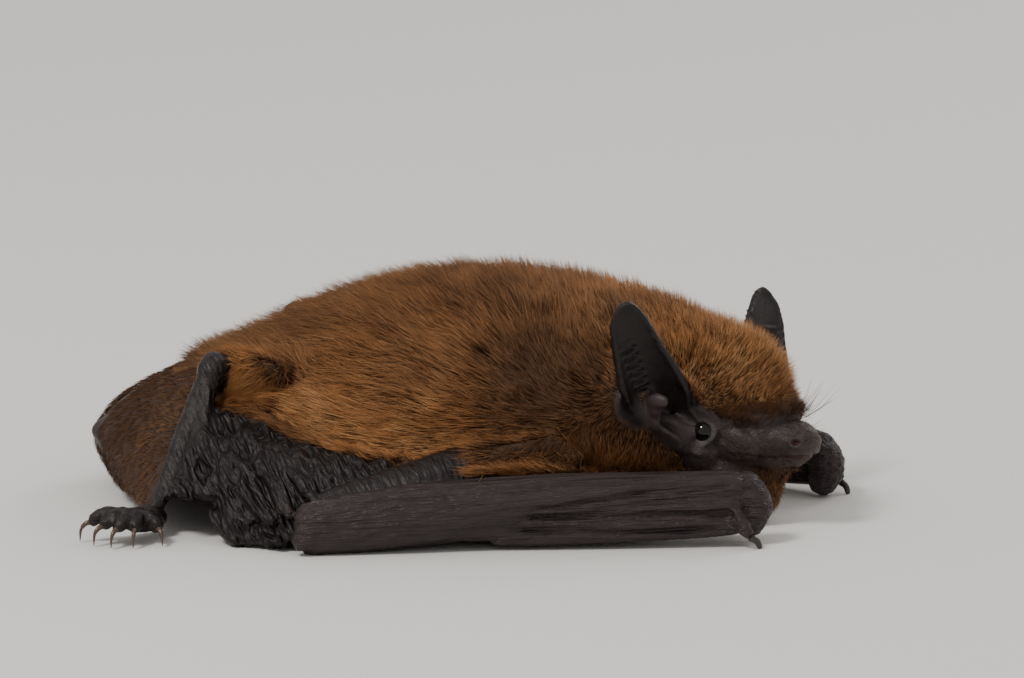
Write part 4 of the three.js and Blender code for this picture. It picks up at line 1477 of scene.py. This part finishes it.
class BAT_OT_coat(bpy.types.Operator):
    """Covers the body and head with overlapping tufts that follow the lie of the coat"""

    bl_idname = "bat.coat"
    bl_label = "Coat"

    def execute(self, context):
        settings = context.scene.bat_coat
        self.width = settings.hair_width / MM
        skin = bpy.data.objects["skin"]
        pelt = Pelt(skin, "coat_depth")
        bm = bmesh.new()
        bm.from_mesh(skin.data)
        tree = BVHTree.FromBMesh(bm)
        bm.free()
        self.air = Air(pelt.points, tree)
        self.lie = Lie()
        self.material = coat_material(settings)
        x, y, _ = pelt.centres.T
        for index, (name, (start, end, side)) in enumerate(COAT_PIECES.items()):
            chosen = (x >= start) & (x < end) & ((y < 0) == (side < 0))
            form = HEAD_TUFTS if "head" in name else BODY_TUFTS
            self.tufts(name, pelt, chosen, settings.tufts, form, SEED + index)
        for index, (name, (attribute, count, form)) in enumerate(SHORT_PIECES.items()):
            pelt = Pelt(skin, attribute)
            chosen = pelt.depth[pelt.triangles].mean(1)
            self.tufts(name, pelt, chosen, count, form, SHORT_SEED + index)
        return {"FINISHED"}

    def tufts(self, name, pelt, chosen, count, form, seed):
        """Makes one piece of the coat, with roots on the chosen triangles of a pelt."""
        rng = np.random.default_rng(seed)
        self.stretch, width, (loose, tight), brighter = form
        roots, normals, depth = pelt.planted(count, chosen, rng)
        course = self.courses(roots, normals, depth, rng)
        # each tuft is drawn towards the nearest of the clumps' middle tufts
        keys, key_normals, key_depth = pelt.planted(count // TUFTS_TO_A_CLUMP, chosen, rng)
        key_course = self.courses(keys, key_normals, key_depth, rng)
        nearest = nearest_of(roots, keys)
        hold = rng.uniform(loose, tight, len(keys))[nearest]
        for step in range(1, len(course)):
            pull = hold * (step / (len(course) - 1)) ** 1.4
            course[step] += pull[:, None] * (key_course[step][nearest] - course[step])
        course[..., 2] = np.maximum(course[..., 2], OFF_FLOOR)
        widths = width * self.width * rng.uniform(0.7, 1.2, count)
        tone = self.lie.tone(roots)
        tint = brighter + tone[:, 0]
        tint = tint + 0.12 * noise(roots, 2.6, 21) + 0.1 * noise(roots, 0.9, 22)
        tint += 0.24 * (rng.random(len(keys))[nearest] - 0.5) + rng.normal(0, 0.13, count)
        warmth = 0.62 + tone[:, 1] + 0.15 * noise(roots, 3.4, 23) + rng.normal(0, 0.1, count)
        tint, warmth = np.clip(tint, 0, 1), np.clip(warmth, 0, 1)
        mesh = tuft_mesh(name, course, widths, unrolled(roots), tint=tint, warmth=warmth)
        finished(name, mesh, self.material)

    def courses(self, roots, normals, depth, rng):
        """The course of each tuft, swayed from the lie of the coat and of uneven length."""
        count = len(roots)
        sway = np.stack([noise(roots, 2.2, 11 + k) for k in range(3)], 1)
        ways = unit(self.lie.way(roots) + 0.42 * sway + rng.normal(0, 0.24, (count, 3)))
        length = self.stretch * self.lie.length(roots) * rng.uniform(0.6, 1.15, count)
        rise = depth * rng.uniform(0.45, 1.25, count)
        length = np.maximum(length * smooth_step(-0.4, 1.6, depth), rise * 1.05)
        reach = np.sqrt(np.maximum(length**2 - rise**2, 0.05))
        return grown(roots, normals, ways, reach, rise, self.air)


def nearest_of(points, places):
    """The index of the place nearest to each point."""
    best = np.empty(len(points), dtype=int)
    for start in range(0, len(points), 1000):
        part = points[start : start + 1000]
        gaps = (part**2).sum(1)[:, None] - 2 * part @ places.T + (places**2).sum(1)[None]
        best[start : start + 1000] = gaps.argmin(1)
    return best


# Right-side places in the head's frame where whiskers grow, how far they scatter, the way
# they point, their length and how many there are. The left side mirrors them.
WHISKERS = [
    ((12.2, -0.7, 0.2), (0.5, 0.4, 0.15), (0.75, -0.35, 0.75), 4.6, 9),
    ((12.0, -1.2, -0.6), (0.5, 0.2, 0.25), (0.6, -0.75, 0.3), 2.4, 8),
    ((11.3, -1.4, 0.6), (0.5, 0.5, 0.2), (0.8, -0.3, 0.45), 1.5, 26),
    ((11.6, -0.9, -3.0), (0.5, 0.3, 0.3), (0.5, -0.4, -0.7), 1.3, 16),
    ((10.3, -2.2, -1.6), (0.8, 0.1, 0.3), (0.3, -0.9, -0.1), 1.2, 10),
]


class BAT_OT_whiskers(bpy.types.Operator):
    """Adds the long whiskers of the muzzle and the bristles of the brow and chin"""

    bl_idname = "bat.whiskers"
    bl_label = "Whiskers"

    def execute(self, context):
        rng = np.random.default_rng(WHISKER_SEED)
        roots, ways, lengths = [], [], []
        for root, spread, way, length, count in WHISKERS:
            for side in (1, -1):
                offset = rng.normal(0, 1, (count, 3)) * spread
                roots.append((np.array(root) + offset) * (1, side, 1))
                ways.append(unit(way + rng.normal(0, 0.16, (count, 3))) * (1, side, 1))
                lengths.append(length * rng.uniform(0.55, 1.1, count))
        roots, ways = moved(np.vstack(roots), HEAD), turned(np.vstack(ways), HEAD)
        lengths = np.concatenate(lengths)
        bend = turned(np.array([(-0.35, 0.0, 0.25)]), HEAD) * rng.uniform(0.2, 1, (len(roots), 1))
        lengths_here = lengths[:, None]
        along = np.linspace(-0.1, 1, 8)
        course = np.array([roots + lengths_here * (t * ways + t**2 * bend * 0.6) for t in along])
        widths = np.clip(0.012 * lengths + 0.012, 0.02, 0.042)
        dark = np.full(len(roots), 0.1)
        mesh = tuft_mesh("whiskers", course, widths, unrolled(roots), tint=dark, warmth=dark)
        nodes = Nodes("whiskers")
        nodes.set(Base_Color=context.scene.bat_coat.root_colour, Roughness=0.4)
        finished("whiskers", mesh, nodes.material)
        return {"FINISHED"}


# ------------------------------------------------------------------ eyes and claws


class BAT_OT_eyes(bpy.types.Operator):
    """Makes the glossy black eyeballs"""

    bl_idname = "bat.eyes"
    bl_label = "Eyes"

    def execute(self, context):
        nodes = Nodes("eye")
        nodes.set(Base_Color=context.scene.bat_eyes.colour, Roughness=0.04, IOR=1.42)
        for side_name, (side, _) in SIDES.items():
            bm = bmesh.new()
            bmesh.ops.create_uvsphere(
                bm, u_segments=48, v_segments=32, radius=EYE_RADIUS * MM,
                matrix=Matrix.Translation(head_spot(EYE_AT, side)),
            )
            name = f"eyeball_{side_name}"
            finished(name, made_mesh(name, bm), nodes.material, [f"eye_{side_name}"])
        return {"FINISHED"}


# The right foot's toes: where each knuckle and tip is. The left foot mirrors them.
TOES = [
    ((-20.33, -19.62, 2.05), (-21.23, -20.02, 1.3)),
    ((-19.43, -20.22, 1.95), (-20.03, -20.92, 1.25)),
    ((-18.53, -20.42, 1.9), (-18.83, -21.32, 1.2)),
    ((-17.73, -20.02, 1.8), (-17.63, -20.92, 1.15)),
    ((-16.83, -19.22, 1.65), (-16.23, -19.92, 1.1)),
]
CLAW_RADII = (0.17, 0.19, 0.16, 0.1, 0.03)  # of a toe claw, from its root to its point


class BAT_OT_claws(bpy.types.Operator):
    """Makes the hooked claws"""

    bl_idname = "bat.claws"
    bl_label = "Claws"

    def execute(self, context):
        settings = context.scene.bat_claws
        thumbs = [name for name in CLAWS if name.startswith("thumb")]
        toes = [name for name in CLAWS if name.startswith("toe")]
        bm = bmesh.new()
        add_solids(bm, thumbs, rounded=2)
        self.claws("thumb_claws", bm, settings.thumb_colour, thumbs)
        bm = bmesh.new()
        for side in (1, -1):
            for knuckle, tip in TOES:
                self.hook(bm, sided(knuckle, side), sided(tip, side))
        self.claws("toe_claws", bm, settings.colour, toes)
        return {"FINISHED"}

    def hook(self, bm, knuckle, tip):
        """One curved claw from the end of a toe to the floor."""
        out = (tip - knuckle) * (1, 1, 0)
        out = out / np.linalg.norm(out)
        places = [
            tip - 0.25 * out + (0, 0, 0.1),
            tip + 0.2 * out + (0, 0, 0.06),
            tip + 0.58 * out - (0, 0, 0.28 * tip[2]),
            tip + 0.66 * out - (0, 0, tip[2] - 0.12),
        ]
        add_tube(bm, places, CLAW_RADII, sides=12, steps=16)

    def claws(self, name, bm, colour, node_names):
        """Makes one piece of the claws in bm."""
        nodes = Nodes(name)
        nodes.set(Base_Color=colour, Roughness=0.22)
        bmesh.ops.recalc_face_normals(bm, faces=bm.faces)
        finished(name, made_mesh(name, bm), nodes.material, node_names)


# ------------------------------------------------------------------ panel and main

OPERATORS = [
    BAT_OT_stage, BAT_OT_skin, BAT_OT_coat, BAT_OT_whiskers, BAT_OT_eyes, BAT_OT_claws
]


class BAT_PT_panel(bpy.types.Panel):
    """Lists the bat's settings and the operators that build it"""

    bl_idname = "BAT_PT_panel"
    bl_label = "Bat"
    bl_space_type = "VIEW_3D"
    bl_region_type = "UI"
    bl_category = "Bat"

    def draw(self, context):
        for name, group in SETTINGS.items():
            settings = getattr(context.scene, name)
            box = self.layout.box()
            for key in group.__annotations__:
                box.prop(settings, key)
        for operator in OPERATORS:
            self.layout.operator(operator.bl_idname)


def register():
    for name, group in SETTINGS.items():
        bpy.utils.register_class(group)
        setattr(bpy.types.Scene, name, PointerProperty(type=group))
    for operator in OPERATORS:
        bpy.utils.register_class(operator)
    bpy.utils.register_class(BAT_PT_panel)


def unregister():
    bpy.utils.unregister_class(BAT_PT_panel)
    for operator in reversed(OPERATORS):
        bpy.utils.unregister_class(operator)
    for name, group in SETTINGS.items():
        delattr(bpy.types.Scene, name)
        bpy.utils.unregister_class(group)


def main():
    register()
    bpy.ops.bat.stage()
    bpy.ops.bat.skin()
    bpy.ops.bat.coat()
    bpy.ops.bat.whiskers()
    bpy.ops.bat.eyes()
    bpy.ops.bat.claws()


if __name__ == "__main__":
    main()
